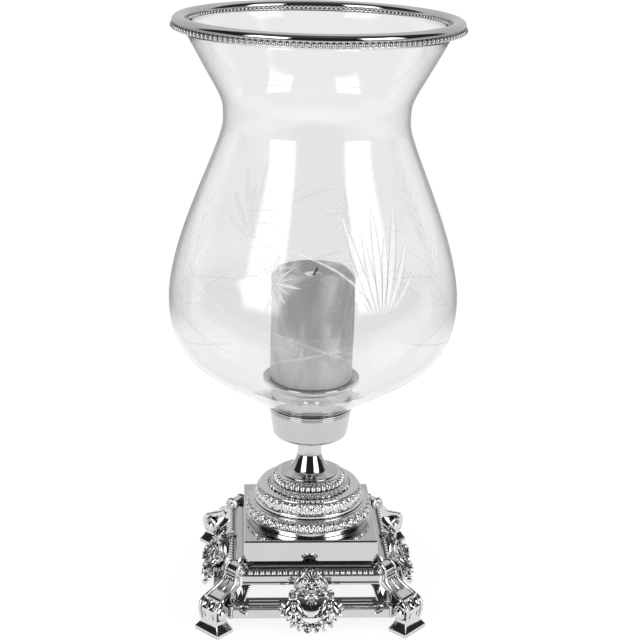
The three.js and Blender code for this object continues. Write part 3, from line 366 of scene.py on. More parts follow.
def wax_material():
    """Grey marbled wax, darker in the middle, with painted shade at the foot, pale specks, and painted
    glints round the wick.
    """
    material, tree = new_material("mottled_wax")
    place = node(tree, "ShaderNodeTexCoord").outputs["Object"]
    upright = node(tree, "ShaderNodeMapping", {"Vector": place, "Scale": (1, 1, 0.5)}).outputs["Vector"]
    cloud = ramp(tree, noise(tree, 34.0, 6.0, upright, 0.8), (0.41, 0.34), (0.5, 0.43), (0.59, 0.57))
    along = node(tree, "ShaderNodeSeparateXYZ", {0: place}).outputs
    height, foot = along["Z"], levels("candle")[0] * MM
    # Darker band down the middle, and painted shade that darkens the wax towards the foot.
    band_and_foot_shade = calc(tree, "MAXIMUM", remap(tree, calc(tree, "ABSOLUTE", along["X"]), 0.002, 0.015, 0.75, 0.0),
                 remap(tree, height, foot, foot + 0.05, 0.6, 0.0))
    marble_and_shade = blend(tree, band_and_foot_shade, cloud, WAX_DARK_AND_SHADE, data_type="RGBA")
    specks = node(tree, "ShaderNodeTexVoronoi", {"Vector": place, "Scale": 420.0}).outputs["Distance"]
    cluster = calc(tree, "MAXIMUM", remap(tree, noise(tree, 44.0, 3.0), 0.5, 0.58, 0.0, 1.0),
                   remap(tree, height, foot, foot + 0.006, 1.0, 0.0))
    dots = calc(tree, "MULTIPLY", remap(tree, specks, 0.12, 0.2, 1.0, 0.0), cluster)
    # Painted glints: a pale ring round the wick, broken by noise, stands in for highlights on the wax.
    flat = node(tree, "ShaderNodeVectorMath", {0: place, 1: (1, 1, 0)}, operation="MULTIPLY")
    away = distance(tree, flat.outputs["Vector"])
    glint_ring = calc(tree, "MULTIPLY", remap(tree, away, 0.0014, 0.003, 0.0, 1.0),
                remap(tree, away, 0.0066, 0.0082, 1.0, 0.0))
    melt = calc(tree, "MULTIPLY", glint_ring, remap(tree, noise(tree, 150.0), 0.38, 0.56, 0.0, 0.85))
    tone = blend(tree, calc(tree, "MAXIMUM", dots, melt), marble_and_shade, WAX_SPECK_AND_GLINT, data_type="RGBA")
    return finish_surface(material, principled(tree, {
        "Base Color": tone, "Roughness": uneven(tree, 60.0, 2.0, 0.38, 0.6),
        "Normal": relief_normal(tree, noise(tree, 90.0, 4.0), 0.25, 0.001),
        "Subsurface Weight": 0.15, "Subsurface Radius": (0.004, 0.004, 0.004),
    }))


def rough_material(name, dark, light, roughness, scale, metallic=0.0):
    """Uneven colour and grain for the plain fasteners, the wick and the soft ring."""
    material, tree = new_material(name)
    return finish_surface(material, principled(tree, {
        "Base Color": mottled(tree, scale, 5.0, dark, light), "Metallic": metallic,
        "Normal": relief_normal(tree, noise(tree, scale * 4, 3.0), 0.3, 0.0003),
        "Roughness": uneven(tree, scale * 2, 2.0, roughness * 0.8, min(1.0, roughness * 1.2)),
    }))


def placed(name, data):
    """New object in the scene."""
    made = bpy.data.objects.new(name, data)
    bpy.context.scene.collection.objects.link(made)
    return made


POLISHED = silver("polished_silver", 0.62, 0.05, 0.02)
# Darker copy of the polished plate: painted shade on the cup.
CUP_SILVER_SHADED = silver("cup_plate_shaded", 0.57, 0.05, 0.02)
# The moulded, cast, pan and chased plates darken their hollows with painted shade.
MOULDED = silver("moulded_silver", 0.62, 0.06, 0.03, painted_shade_depth=0.0018)
CAST = silver("cast_silver", 0.7, 0.10, 0.06, painted_shade_depth=0.0024)
PAN_SILVER = silver("pan_plate", 0.64, 0.06, 0.03, painted_shade_depth=0.005)
# Lighter copy of the plate: painted light on the leaf bands and the collar.
CHASED_LIT = silver("chased_silver_lit", 0.76, 0.13, 0.16, painted_shade_depth=0.0012)
GLASS = glass_material()
CUT_GLASS = cut_glass_material("cut_glass", 0.9, 0.97, 0.35, 0.6)
CUT_FAINT = cut_glass_material("cut_glass_faint", 0.8, 0.97, 0.08, 0.22)
# Darker, less clear glass for the strips of painted shade along the cuts.
CUT_EDGE_SHADE = cut_glass_material("cut_glass_edge_shade", 0.6, 0.8, 0.1, 0.3)
WAX = wax_material()
WICK = rough_material("burnt_wick", 0.008, 0.05, 0.9, 900.0)
STEEL = rough_material("zinc_steel", 0.35, 0.55, 0.35, 300.0, metallic=1.0)
SOFT_RING = rough_material("cork_ring", 0.05, 0.16, 0.85, 500.0)


def piece(name, shape, material, body, slot, *nodes, sharp=38, flat=False):
    """Object made from a shape, riding on a body and standing for CAD nodes."""
    points, faces = shape
    mesh = bpy.data.meshes.new(name)
    mesh.from_pydata((np.asarray(points) * MM).tolist(), [], faces)
    work = bmesh.new()
    work.from_mesh(mesh)
    bmesh.ops.remove_doubles(work, verts=work.verts, dist=WELD * MM)
    bmesh.ops.recalc_face_normals(work, faces=work.faces)
    work.to_mesh(mesh)
    work.free()
    mesh.validate()
    mesh.polygons.foreach_set("use_smooth", [True] * len(mesh.polygons))
    mesh.set_sharp_from_angle(angle=math.radians(sharp))
    mesh.materials.append(material)
    made = placed(name, mesh)
    if flat:
        made.modifiers.new("even_faces", "WEIGHTED_NORMAL").keep_sharp = True
    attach(made, body)
    if nodes:
        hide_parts(*nodes)


def on_stand(name, shape, material, *nodes, **look):
    """Silver piece of the fixed stand."""
    piece(name, shape, material, "stand", "silver", *nodes, **look)


def repeated(name, node_name, shape, material, places, **look):
    """The same silver piece on every side or corner of the stand."""
    for place, angle in places.items():
        on_stand(f"{name}_{place}", turned(shape, angle), material, f"{node_name}_{place}", **look)


# Glass shade

SHADE_WALL = 2.2
NECK_FOOT, NECK_TOP, NECK_HEIGHT = 31.1, 33.0, 19.8
BELLY, BELLY_HEIGHT = 119.1, 115.7
WAIST, WAIST_HEIGHT = 74.8, 263.7
LIP, SHADE_HEIGHT = 107.1, 338.4
NECK_FLARE, BELLY_CURVE, WAIST_CURVE = (42.8, 33.2), (55.6, 52), (20, 22)
LIP_LEAN = (32.6, 62)

shade_foot = levels("glass_shade")[0]
lip_top = shade_foot + SHADE_HEIGHT


def shade_outline():
    """Outside of the glass from foot to lip, evenly fine, the neck softly bent."""
    neck_end, belly, waist = (shade_foot + height for height in (NECK_HEIGHT, BELLY_HEIGHT, WAIST_HEIGHT))
    neck = np.linspace((NECK_FOOT, shade_foot), (NECK_TOP, neck_end), 14)
    line = np.vstack([
        neck,
        bezier((NECK_TOP, neck_end), (NECK_TOP + NECK_FLARE[0], neck_end + NECK_FLARE[1]),
               (BELLY, belly - BELLY_CURVE[0]), (BELLY, belly), 40)[1:],
        bezier((BELLY, belly), (BELLY, belly + BELLY_CURVE[1]),
               (WAIST, waist - WAIST_CURVE[0]), (WAIST, waist), 40)[1:],
        bezier((WAIST, waist), (WAIST, waist + WAIST_CURVE[1]),
               (LIP - LIP_LEAN[0], lip_top - LIP_LEAN[1]), (LIP, lip_top), 26)[1:],
    ])
    bend = len(neck)
    for _ in range(3):
        before, here, after = (line[bend + k:bend + k + 5] for k in (-4, -3, -2))
        line[bend - 3:bend + 2] = (before + here + after) / 3
    return line


SHADE = shade_outline()


def shade_radius(z):
    return np.interp(z, SHADE[:, 1], SHADE[:, 0])


def glass_shade():
    along = directions(SHADE)
    inside = SHADE + SHADE_WALL * np.stack([-along[:, 1], along[:, 0]], 1)
    inside[0, 1], inside[-1, 1] = SHADE[0, 1], SHADE[-1, 1]
    shape = lathe(np.vstack([SHADE, inside[::-1]]), 144)
    piece("shade_glass", shape, GLASS, "shade", "glass", "glass_shade", sharp=60)


def on_glass(azimuth, height, lift):
    """Point over the outside of the glass; azimuth in degrees from the front, to the right."""
    a = np.radians(azimuth)
    r = shade_radius(height) + lift
    return np.stack([r * np.sin(a), -r * np.cos(a), height], -1)


def fitted(points):
    """Curve near some points, as a function of the share of the way along them."""
    at = np.linspace(0, 1, len(points))
    fits = [np.polyfit(at, points[:, k], min(2, len(points) - 1)) for k in (0, 1)]
    return lambda share: np.array([np.polyval(fit, share) for fit in fits])


CUT_STEP, FACET_LIFT, EDGE_LIFT, EDGE_SHARE = 2.0, 0.05, 0.09, 0.72
STAR_RAYS = 16


def cut_line(points, width):
    """Middle of a lens-shaped cut and the way to its edge, both as (azimuth, height)."""
    points = np.array(points, float)
    across, rise = np.radians(np.ptp(points[:, 0])) * BELLY, np.ptp(points[:, 1])
    s = np.linspace(0, 1, max(8, int(math.hypot(across, rise) / CUT_STEP)) + 1)
    azimuth, height = fitted(points)(s)
    reach = shade_radius(height)
    du, dv = np.gradient(np.radians(azimuth) * reach), np.gradient(height)
    half = width / 2 * np.sin(np.pi * np.clip(s, 0.02, 0.98)) ** 0.6 / np.hypot(du, dv)
    return np.stack([azimuth, height], 1), np.stack([np.degrees(-dv * half / reach), du * half], 1)


def strip(middle, edge, lift, *shares):
    rows = [on_glass(*(middle + share * edge).T, lift) for share in shares]
    return skin(np.stack(rows, 1), loop=False)


def facet(points, width):
    return strip(*cut_line(points, width), FACET_LIFT, -1, 0, 1)


def outline(points, width):
    """Thin strips of painted shade along both edges of a cut."""
    middle, edge = cut_line(points, width)
    return merge(strip(middle, edge, EDGE_LIFT, -1, -EDGE_SHARE),
                 strip(middle, edge, EDGE_LIFT, EDGE_SHARE, 1))


def ray_to(azimuth, height, lean, length):
    """Straight cut from a point, leaning in degrees from upright."""
    c, s = cos_sin(lean)
    top = height + length * c
    swing = math.degrees(length * s / float(shade_radius((height + top) / 2)))
    return [(azimuth, height), (azimuth + swing, top)]


def palm_fan(azimuth, height):
    """Broad blades that spread from one point, as (points, width)."""
    blades = ((-28, 22), (-17, 73), (-8, 58), (1, 76), (9, 58), (16, 77), (28, 58), (43, 37))
    return [(ray_to(azimuth + 0.12 * lean, height, lean, length), 2.4 + 0.06 * length)
            for lean, length in blades]


def star_flower(azimuth, height):
    """Rays of four kinds in turn."""
    cuts = []
    for k in range(STAR_RAYS):
        length, width = ((20, 2.6), (13, 1.0), (17, 1.5), (14, 1.0))[k % 4]
        lean = 360 * k / STAR_RAYS + 8
        start = ray_to(azimuth, height, lean, 2.5)[1]
        cuts.append((ray_to(*start, lean, length), width))
    return cuts


def spray(points, leaf_length, pairs, width, leaf_width):
    """Curved stem with leaves in pairs, larger towards its foot."""
    points = np.array(points, float)
    curve = fitted(points)
    cuts = [(points, width)]
    for k in range(pairs):
        s = (k + 0.7) / pairs
        here, ahead = curve(s), curve(s + 0.02)
        reach = math.radians(1) * float(shade_radius(here[1]))
        lean = math.degrees(math.atan2((ahead[0] - here[0]) * reach, ahead[1] - here[1]))
        for side in (-1, 1):
            cuts.append((ray_to(*here, lean + side * 30, leaf_length * (1 - 0.45 * s)), leaf_width))
    return cuts


def engraving():
    """Bold fan and star in front, soft crossing lines, leaf sprays, and a faint copy behind."""
    bold = palm_fan(23, 288) + star_flower(-19, 311) + [
        ([(-15, 334), (2, 328), (13, 307), (20, 290)], 2.2), ([(2, 337), (9, 327), (14, 315)], 1.2)]
    soft = [([(-18, 274), (-2, 263), (16, 248)], 2.6), ([(-24, 247), (-2, 257), (14, 266)], 2.6)]
    soft += [([start, end], 1.6) for start, end in (
        ((-22, 266), (-8, 258)), ((-26, 258), (-12, 263)), ((3, 262), (18, 257)), ((4, 256), (20, 262)))]
    lines = [([(-37, z - 2), (-28, z + 2), (-19, z + 2)], 1.2) for z in (359, 350, 340, 333)]
    lines += spray([(-63, 273), (-69, 312), (-76, 357)], 26, 8, 1.3, 1.1)
    lines += spray([(-56, 292), (-62, 325), (-64, 358)], 16, 5, 1.0, 1.0)
    lines += spray([(56, 284), (54, 330), (49, 380)], 22, 9, 1.3, 1.2)
    lines += [([(71, 332), (74, 312), (72, 290)], 1.2), ([(-49, 299), (-42, 302), (-34, 301)], 1.4)]
    for side in (-1, 1):
        lines += [([(side * 66, 270), (side * 48, 259), (side * 34, 251)], 1.5),
                  ([(side * 68, 243), (side * 48, 252), (side * 32, 262)], 1.3),
                  ([(side * 62, 279), (side * 45, 286)], 1.2), ([(side * 80, 262), (side * 66, 244)], 1.2)]

    def cut(kind, cuts):
        return merge(*[kind(*one) for one in cuts])

    sprays = merge(cut(facet, soft + lines), turned(cut(facet, bold + soft + lines), 180))
    for name, shape, material in (("facets", cut(facet, bold), CUT_GLASS), ("sprays", sprays, CUT_FAINT),
                                  ("edges", cut(outline, bold + lines), CUT_EDGE_SHADE)):
        piece(f"shade_cut_{name}", shape, material, "shade", "glass", sharp=80)


# Rim of the glass

RIM_OVERHANG, RIM_LIFT, RIM_HALF = 2.1, 3.6, (5.4, 3.9)
RIM_GRIP, RIM_SHEET, GLASS_GAP = 2.4, 1.0, 0.6
BEAD_WIRE = 0.4


def rim():
    """Flattened roll over the edge of the glass, with a short skirt outside it."""
    turn = np.radians(np.linspace(0, 360, 56, endpoint=False))
    roll = np.stack([LIP + RIM_OVERHANG + RIM_HALF[0] * np.cos(turn),
                     lip_top + RIM_LIFT + RIM_HALF[1] * np.sin(turn)], 1)
    inside, grip, seat = LIP + GLASS_GAP, lip_top - RIM_GRIP, lip_top + GLASS_GAP
    skirt = [(inside, grip), (inside + RIM_SHEET, grip), (inside + 2 * RIM_SHEET, seat), (inside, seat)]
    shape = merge(lathe(roll, 192), lathe(skirt, 144))
    piece("rim_roll", shape, POLISHED, "shade", "silver", "rim_collar", sharp=50)


def beaded_ring(place, count, bead, middle, height):
    """Beads round a circle, on a thin wire under them."""
    beads = [turned(ball((0, -middle, height), bead, 12, 8), 360 * k / count) for k in range(count)]
    wire = lathe(arc(middle, height - bead + 0.3, BEAD_WIRE, 0, 360, 8)[:-1], 144)
    piece(f"rim_beads_{place}", merge(wire, *beads), CAST, "shade", "silver", f"rim_{place}_beading")


def rim_beads():
    edge = lip_top + RIM_LIFT
    beaded_ring("outer", 148, 1.95, LIP + RIM_OVERHANG + 4.9, edge - 3.8)
    beaded_ring("inner", 164, 1.5, LIP - 3.1, edge - 1.9)


# Candle and its pan

CANDLE_RADIUS, CANDLE_SHOULDER, CANDLE_EDGE, CANDLE_DIP = 35.0, 7.0, 1.2, 4.0
WICK_HOLE, WICK_BURNT = 1.2, 2.8


def candle():
    """Pillar of wax with a rounded shoulder, a shallow pool and faintly wavy sides."""
    foot, top = levels("candle")
    dip, crown, side = top - CANDLE_DIP, CANDLE_RADIUS - CANDLE_SHOULDER, CANDLE_RADIUS - CANDLE_EDGE
    profile = np.vstack([
        [(AXIS, foot), (side, foot)], arc(side, foot + CANDLE_EDGE, CANDLE_EDGE, -90, 0, 4),
        np.linspace((CANDLE_RADIUS, foot + 4), (CANDLE_RADIUS, top - CANDLE_SHOULDER - 2), 28),
        arc(crown, top - CANDLE_SHOULDER, CANDLE_SHOULDER, 0, 96, 12),
        bezier((crown - 2, top - 0.4), (20, top - 1), (14, dip + 1), (9, dip + 0.4), 8),
        [(WICK_HOLE, dip), (WICK_HOLE, dip - 5), (AXIS, dip - 5)],
    ])

    def melt(angle, row):
        radius, z = profile[row]
        waves = np.sin(5 * angle + 0.05 * z) * 0.16 + np.sin(11 * angle - 0.09 * z + 1) * 0.1
        return np.minimum(0, waves - 0.26) * (radius > 12)

    wax = lathe(profile, 96, closed=False, relief=melt)
    piece("candle_wax", wax, WAX, "candle", "wax", "candle", sharp=60)


def wick():
    foot, top = levels("wick")
    top = top - WICK_BURNT
    z = np.linspace(foot, top, 16)
    bend = smoothstep(top - 9, top, z)
    path = np.stack([2.9 * bend ** 1.4, 0.25 * np.sin(1.3 * (z - foot)), z], 1)
    twist = 0.74 + 0.08 * np.sin(2.4 * (z - foot))
    piece("wick_cord", tube(path, twist, 10), WICK, "candle", "wick", "wick")


def candle_pan():
    """Dish with a rolled rim and a hollow spigot that drops into the neck of the glass."""
    foot, top = levels("candle_pan")
    floor = top - 1.5
    neck_end = shade_foot + NECK_HEIGHT + SHADE_WALL
    spigot_top, spigot_foot, wall = 30.3, 29.1, 1.8
    outer = rounded(
        (spigot_foot - wall, foot), (spigot_foot, foot, 0.5), (spigot_top, neck_end, 1.2),
        (34.4, neck_end + 4.2, 2.2), (35.4, floor - 13, 1.5), (36.1, floor - 5.5, 1.5),
        (40.4, floor - 3.0, 0.9), (41.1, floor - 1.8, 0.7), steps=6)
    rim_roll = arc(40.0, floor + 0.35, 1.1, 0, 165, 12)
    dish = rounded((37.4, floor + 0.1, 0.5), (36.2, floor), (AXIS, floor))
    inner = rounded((AXIS, floor - wall), (34.2, floor - wall, 1), (33.6, floor - 13, 1.5),
                    (spigot_top, neck_end + 5, 1.5), (spigot_top - wall, neck_end, 1))
    shape = lathe(np.vstack([outer, rim_roll, dish, inner]), 112)
    piece("pan_silver", shape, PAN_SILVER, "pan", "silver", "candle_pan", sharp=50)


# Turned pedestal

ROD_HOLE, TIER_BORE = 4.5, 24
LEAVES, FLUTES, LEAF_STEPS = 38, 40, 16


def socket_cup():
    """Cup with two thin lines and a bead below its lip."""
    low, high = extent("socket_cup")
    foot, top, outer = low[2], high[2], high[0]
    bottom, wall = 33.0, 1.9
    lip = top + 1.7
    mouldings = [(outer - inset, lip - drop, round_off) for inset, drop, round_off in (
        (0.8, 4.0, 0.2), (1.2, 3.8, 0.1), (1.2, 3.5, 0.1), (0.4, 3.2, 0.2), (0.4, 2.3, 0.2), (1.0, 2.1, 0.1),
        (1.0, 1.8, 0.1), (0, 1.5, 0.2), (0, 0.3, 0.3), (0.7, 0.3, 0.2))]
    profile = rounded(
        (ROD_HOLE, foot), (bottom - 1.4, foot, 3.8), *mouldings, (outer - wall, top, 0.3),
        (bottom - wall + 0.2, foot + 2.4, 1.2), (ROD_HOLE, foot + 2.4), steps=6)
    on_stand("cup_silver", lathe(profile, 128), CUP_SILVER_SHADED, "socket_cup", sharp=50)


def stem():
    """Flat dish, a trumpet that rises from its ankle to the neck, and a thin collar on top."""
    low, high = extent("stem")
    foot, top, flange = low[2], high[2], high[0] - 1.6
    neck, ankle = 10.2, 16.4
    edge = foot + 1.2
    dish = bezier((flange - 1.2, edge), (flange - 6, edge + 1.3), (ankle + 1.4, edge + 1.5),
                  (ankle, edge + 2.6), 20)
    trumpet = bezier((ankle, edge + 2.6), (ankle - 2.2, edge + 5.4), (neck + 1.9, edge + 9.6),
                     (neck, edge + 16.6), 26)
    collar = rounded((neck, top - 1.8, 0.3), (neck + 0.5, top - 1.5, 0.3), (neck + 0.5, top - 0.3, 0.2),
                     (neck, top))
    rim_edge = rounded((flange, foot, 0.5), (flange, edge - 0.4, 0.4), (flange - 0.8, edge, 0.3))
    profile = np.vstack([[(ROD_HOLE, foot)], rim_edge, dish, trumpet[1:], collar, [(ROD_HOLE, top)]])
    on_stand("stem_silver", lathe(profile, 128), POLISHED, "stem", sharp=40)


def leaf_wave(angle, row_share, count):
    """Relief from 0 to 1 of a ring of pointed, veined leaves with small darts between them."""
    u = (angle / (2 * np.pi) * count) % 1.0
    x = 2 * u - 1
    width = 0.95 * np.sin(np.pi / 2 * np.clip(row_share * 1.5 + 0.12, 0, 1)) ** 0.8
    inside = smoothstep(0.0, 0.2, width - np.abs(x))
    body = 0.55 + 0.45 * np.cos(np.pi / 2 * np.clip(x / width, -1, 1))
    vein = 0.55 * np.exp(-(x / 0.1) ** 2)
    ribs = 0.24 * np.sin(2 * np.pi * (4.6 * row_share - 1.6 * np.abs(x)))
    dart = 0.6 * np.exp(-((np.abs(x) - 1) / 0.16) ** 2) * smoothstep(0.75, 0.3, row_share)
    return np.maximum(inside * (body - vein + ribs), dart)


def tier(name, below, band, crown, depth):
    """Pedestal ring: a moulding, a band with a wreath of leaves, and a crown."""
    foot, top = levels(name)
    profile = np.vstack([below, band, crown, [(TIER_BORE, top - 3), (TIER_BORE, foot)]])
    first, last = len(below), len(below) + len(band)

    def relief(angle, row):
        if not first < row < last:
            return 0 * angle
        return depth * (leaf_wave(angle, (row - first) / (last - first), LEAVES) - 1)

    wreath = lathe(profile, LEAVES * LEAF_STEPS, relief=relief)
    on_stand(f"{name}_silver", wreath, CHASED_LIT, name, sharp=60)


def lower_tier():
    foot, top = levels("lower_tier")
    flare = rounded((TIER_BORE, foot), (51.6, foot, 0.2), (51.6, foot + 3.6, 0.5), (53.4, foot + 4.2, 0.3),
                    (54.8, foot + 4.6, 0.5), (54.9, foot + 5.7, 0.5), (54.2, foot + 6.0, 0.1), steps=5)
    band = bezier((54.5, foot + 6.1), (55.0, foot + 9.6), (53.0, foot + 12.7), (48.9, foot + 13.3), 30)
    crown = rounded((48.6, foot + 13.2, 0.2), (48.5, foot + 13.9, 0.3), (47.6, top, 0.3), (TIER_BORE, top),
                    steps=5)
    tier("lower_tier", flare, band, crown, 1.3)


def upper_tier():
    foot, top = levels("upper_tier")
    step = rounded((TIER_BORE, foot), (46.7, foot, 0.4), (47.2, foot + 1.4, 0.8), (46.9, foot + 3.2, 0.8),
                   (45.7, foot + 3.6, 0.2), (45.7, foot + 3.8), steps=5)
    band = bezier((45.9, foot + 3.9), (46.3, foot + 7.6), (44.6, foot + 11.6), (42.3, foot + 12.2), 30)
    crown = rounded((42.1, foot + 12.2, 0.2), (42.7, foot + 12.5, 0.2), (42.4, top, 0.2), (TIER_BORE, top))
    tier("upper_tier", step, band, crown, 0.9)


def fluted_collar():
    """Skirt of leaf tips under a ring of long gadroons."""
    foot, top = levels("fluted_collar")
    skirt = bezier((36.2, foot), (35.6, foot + 1.4), (33.6, foot + 2.2), (31.4, foot + 3.2), 18)
    swell = bezier((30.8, foot + 3.0), (33.0, foot + 6.2), (31.2, foot + 9.6), (27.2, foot + 9.8), 28)
    crown = rounded((26.8, foot + 9.8, 0.1), (26.6, foot + 9.9, 0.1), (26.1, top), (ROD_HOLE, top))
    profile = np.vstack([[(ROD_HOLE, foot)], skirt, swell, crown])
    skirt_end, swell_end = 1 + len(skirt), 1 + len(skirt) + len(swell)

    def relief(angle, row):
        if 1 <= row < skirt_end:
            share = (row - 1) / len(skirt)
            return 1.5 * (leaf_wave(angle, share, FLUTES) - 1) * (1 - 0.5 * share)
        if skirt_end <= row < swell_end:
            share = (row - skirt_end) / (len(swell) - 1)
            lobe = np.abs(np.sin(angle * FLUTES / 2)) ** 0.6
            return -2.4 * (1 - lobe * math.sin(math.pi * (0.92 * share + 0.05)) ** 0.35)
        return 0 * angle

    shape = lathe(profile, FLUTES * LEAF_STEPS, relief=relief)
    on_stand("collar_silver", shape, CHASED_LIT, "fluted_collar", sharp=60)


# Plinth and tray

def plinth():
    low, high = extent("plinth_cover")
    foot, top, half = low[2], high[2], high[0]
    upper, wall = half - 1, 2.0
    profile = np.vstack([
        rounded((half - wall, foot), (half, foot, 0.2), (upper, top, 1.9), (AXIS, top), steps=8),
        rounded((AXIS, top - wall), (upper - wall, top - wall, 0.4), (half - wall, foot)),
    ])
    on_stand("plinth_silver", square_turn(profile, 0.5), POLISHED, "plinth_cover", flat=True)


TRAY_HALF, LEDGE_HALF, PLINTH_HALF = 68.6, 63.2, 57.0
TRAY_BAND, TRAY_LEDGE, TRAY_STEP, TRAY_WALL = 4.4, 2.8, 0.7, 4.0
SLOT_HALF = 7.8


def mitred(profile, cut_back):
    """Profile of (out, z) along the front side, its ends cut parallel to the diagonals."""
    ends = [[(side * (out - cut_back), -out, z) for out, z in profile] for side in (-1, 1)]
    return skin(ends, caps=True)


def tray():
    """Deck under the plinth and four sides, each a ledge, a sloping band and a stepped fillet."""
    foot, top = levels("tray")
    band_top = top - TRAY_LEDGE
    band_foot = band_top - TRAY_BAND
    deck_foot, deck_top = top - 3, top - 0.05
    cove = bezier((PLINTH_HALF + 0.3, top - 0.1), (PLINTH_HALF + 4, top - 0.3),
                  (LEDGE_HALF - 0.4, top - 0.7), (LEDGE_HALF + 0.1, band_top), 12)
    band = rounded(
        (LEDGE_HALF + 0.5, band_top, 0.25), (LEDGE_HALF + 0.9, band_top - 0.4, 0.2),
        (TRAY_HALF - 0.5, band_foot + 0.4, 0.15), (TRAY_HALF, band_foot + 0.2, 0.2),
        (TRAY_HALF, foot + 5 * TRAY_STEP, 0.2), (TRAY_HALF - TRAY_STEP, foot + 4 * TRAY_STEP, 0.2),
        (TRAY_HALF, foot + 3 * TRAY_STEP, 0.3), (TRAY_HALF, foot + TRAY_STEP, 0.4),
        (TRAY_HALF - TRAY_STEP, foot, 0.2))
    wall = TRAY_HALF - TRAY_WALL
    inside = [(wall, foot), (wall, band_foot - 2), (PLINTH_HALF - 1, deck_foot)]
    edge = np.vstack([[(PLINTH_HALF - 1, deck_top), (PLINTH_HALF + 0.2, deck_top)], cove, band, inside])
    slab = [(AXIS, deck_foot), (PLINTH_HALF, deck_foot), (PLINTH_HALF, deck_top), (AXIS, deck_top)]
    deck = square_turn(slab, 0.3)
    sides = [turned(mitred(edge, SLOT_HALF * math.sqrt(2)), a) for a in SIDES.values()]
    on_stand("tray_silver", merge(deck, *sides), MOULDED, "tray", sharp=32, flat=True)


def bead_strips():
    """Row of beads on a thin bar along the sloping band, open behind the mask."""
    low, high = extent("bead_strip_front")
    bead, pitch = 2.15, 4.8
    slope = math.atan2(TRAY_BAND, TRAY_HALF - LEDGE_HALF - TRAY_STEP)
    middle = (0, (low[1] + high[1]) / 2 + 0.35, (low[2] + high[2]) / 2 - 0.35)
    count = round((high[0] - low[0]) / pitch)
    half = (high[0] - low[0]) / 2
    bar = tube([(-half, 0, -0.5), (half, 0, -0.5)], 0.55, 8)
    places = [(k - (count - 1) / 2) * pitch for k in range(count)]
    row = [ball((x, 0, 0), (bead, bead, bead * 0.9), 16, 10) for x in places if abs(x) > MASK_HALF_WIDTH / 2]
    axes = ((1, 0, 0), (0, math.cos(slope), math.sin(slope)), (0, -math.sin(slope), math.cos(slope)))
    repeated("beads", "bead_strip", framed(merge(bar, *row), middle, *axes), CAST, SIDES)


# Side panels

RAIL_OUT, RAIL_IN = 82.0, 73.0
RAIL_FOOT, RAIL_FACE, RAIL_TOP = 11.2, 8.5, 25.9
LEG_WIDTH_LOW, LEG_WIDTH_TOP = 23.0, 14.0
END_GAP = (LEG_WIDTH_LOW / 2 + 0.3) * math.sqrt(2)
POST_HALF_TOP, POST_HALF_FOOT = 50.6, 55.2
POST_OUT, POST_LEAN, POST_END, POST_DEPTH = 76.3, 8.7, 58.4, 3.6


def rail():
    """Rail with an upright face, a small step and a sloping top with two thin grooves."""
    face_top = RAIL_FOOT + RAIL_FACE
    slope = bezier((RAIL_OUT - 1.5, face_top + 1.0), (RAIL_OUT - 4, face_top + 2.4),
                   (RAIL_IN + 3, RAIL_TOP - 1.9), (RAIL_IN + 1.3, RAIL_TOP - 0.5), 14)
    slope[[4, 5, 9, 10]] -= (0.35, 0.45)
    face = rounded(
        (RAIL_OUT - 4, RAIL_FOOT), (RAIL_OUT, RAIL_FOOT, 0.5), (RAIL_OUT, face_top - 0.4, 0.3),
        (RAIL_OUT - 0.7, face_top, 0.2), (RAIL_OUT - 0.7, face_top + 0.5, 0.2),
        (RAIL_OUT - 1.3, face_top + 0.7, 0.2))
    top = rounded((RAIL_IN + 1.0, RAIL_TOP, 0.2), (RAIL_IN, RAIL_TOP, 0.3), (RAIL_IN - 1.2, RAIL_TOP - 1))
    return mitred(np.vstack([face, slope, top]), END_GAP)


def post(side):
    """Slanting post with a raised line along both edges and beads on the inner one."""
    foot, top = RAIL_TOP - 1.8, levels("side_panel_front")[1]
    across = ((0, 0.5), (0.14, 0.5), (0.2, -0.5), (0.7, -0.5), (0.76, 0.4), (1, 0.4))
    rings, inner = [], []
    for f in np.linspace(0, 1, 9):
        half = POST_HALF_FOOT + (POST_HALF_TOP - POST_HALF_FOOT) * f
        out, z = POST_OUT - POST_LEAN * f, foot + (top - foot) * f
        gap = END_GAP + (out - POST_END - END_GAP) * f
        wide, back = out - gap - half, -out + POST_DEPTH
        face = [(side * (half + wide * x), -out - d, z) for x, d in across]
        rings.append(face + [(side * (out - POST_DEPTH - gap), back, z), (side * half, back, z)])
        inner.append((side * (half + wide * 0.07), -out - 0.6, z))
    start, end = np.array(inner[0]), np.array(inner[-1])
    beads = [ball(start + (end - start) * f, 0.62, 8, 5) for f in np.linspace(0.06, 0.94, 9)]
    return merge(skin(rings, caps=True), *beads)


def rail_leaves(side):
    """Two leaves that curl from the leg over each end of the rail."""
    leaves = []
    for x, inset, z, tilt, length in ((60.5, 2.2, 22.6, 190, 9.0), (60.0, 0, 19.4, 205, 7.5)):
        c, s = cos_sin(tilt)
        axes = ((side * c, -0.2, s), (-side * s, 0.1, c), (0, -0.94, 0.3))
        curled = leaf(length, 4.6, 2.2, curl=0.6, lobes=3, taper=0.5)
        leaves.append(framed(curled, (side * x, inset - RAIL_OUT, z), *axes))
    return merge(*leaves)


def side_panels():
    shape = merge(rail(), *[merge(post(side), rail_leaves(side)) for side in (-1, 1)])
    repeated("panel", "side_panel", shape, MOULDED, SIDES, sharp=30, flat=True)


# Legs, worked out along their own diagonal: (along, across, height)

TOP_SCROLL = (88.0, 46.6, 6.2)
KNEE_HEIGHT, KNEE_IN, KNEE_OUT = 30.4, 113.5, 121.6
SHIN_TOP, SHIN_FOOT = 19.5, 11.6
FLUTE_DEPTH, EDGE_ROLL, FLANK_DEPTH, WEB_HALF = 1.7, 1.2, 8.0, 5.0
FOOT_SPREAD, FOOT_WIDTH, FOOT_DEPTH, FOOT_LIP = 114.3, 27.6, 17.9, 3.4
BOSS, BOSS_OUT = (113.2, 17.2, 5.4), 8.6


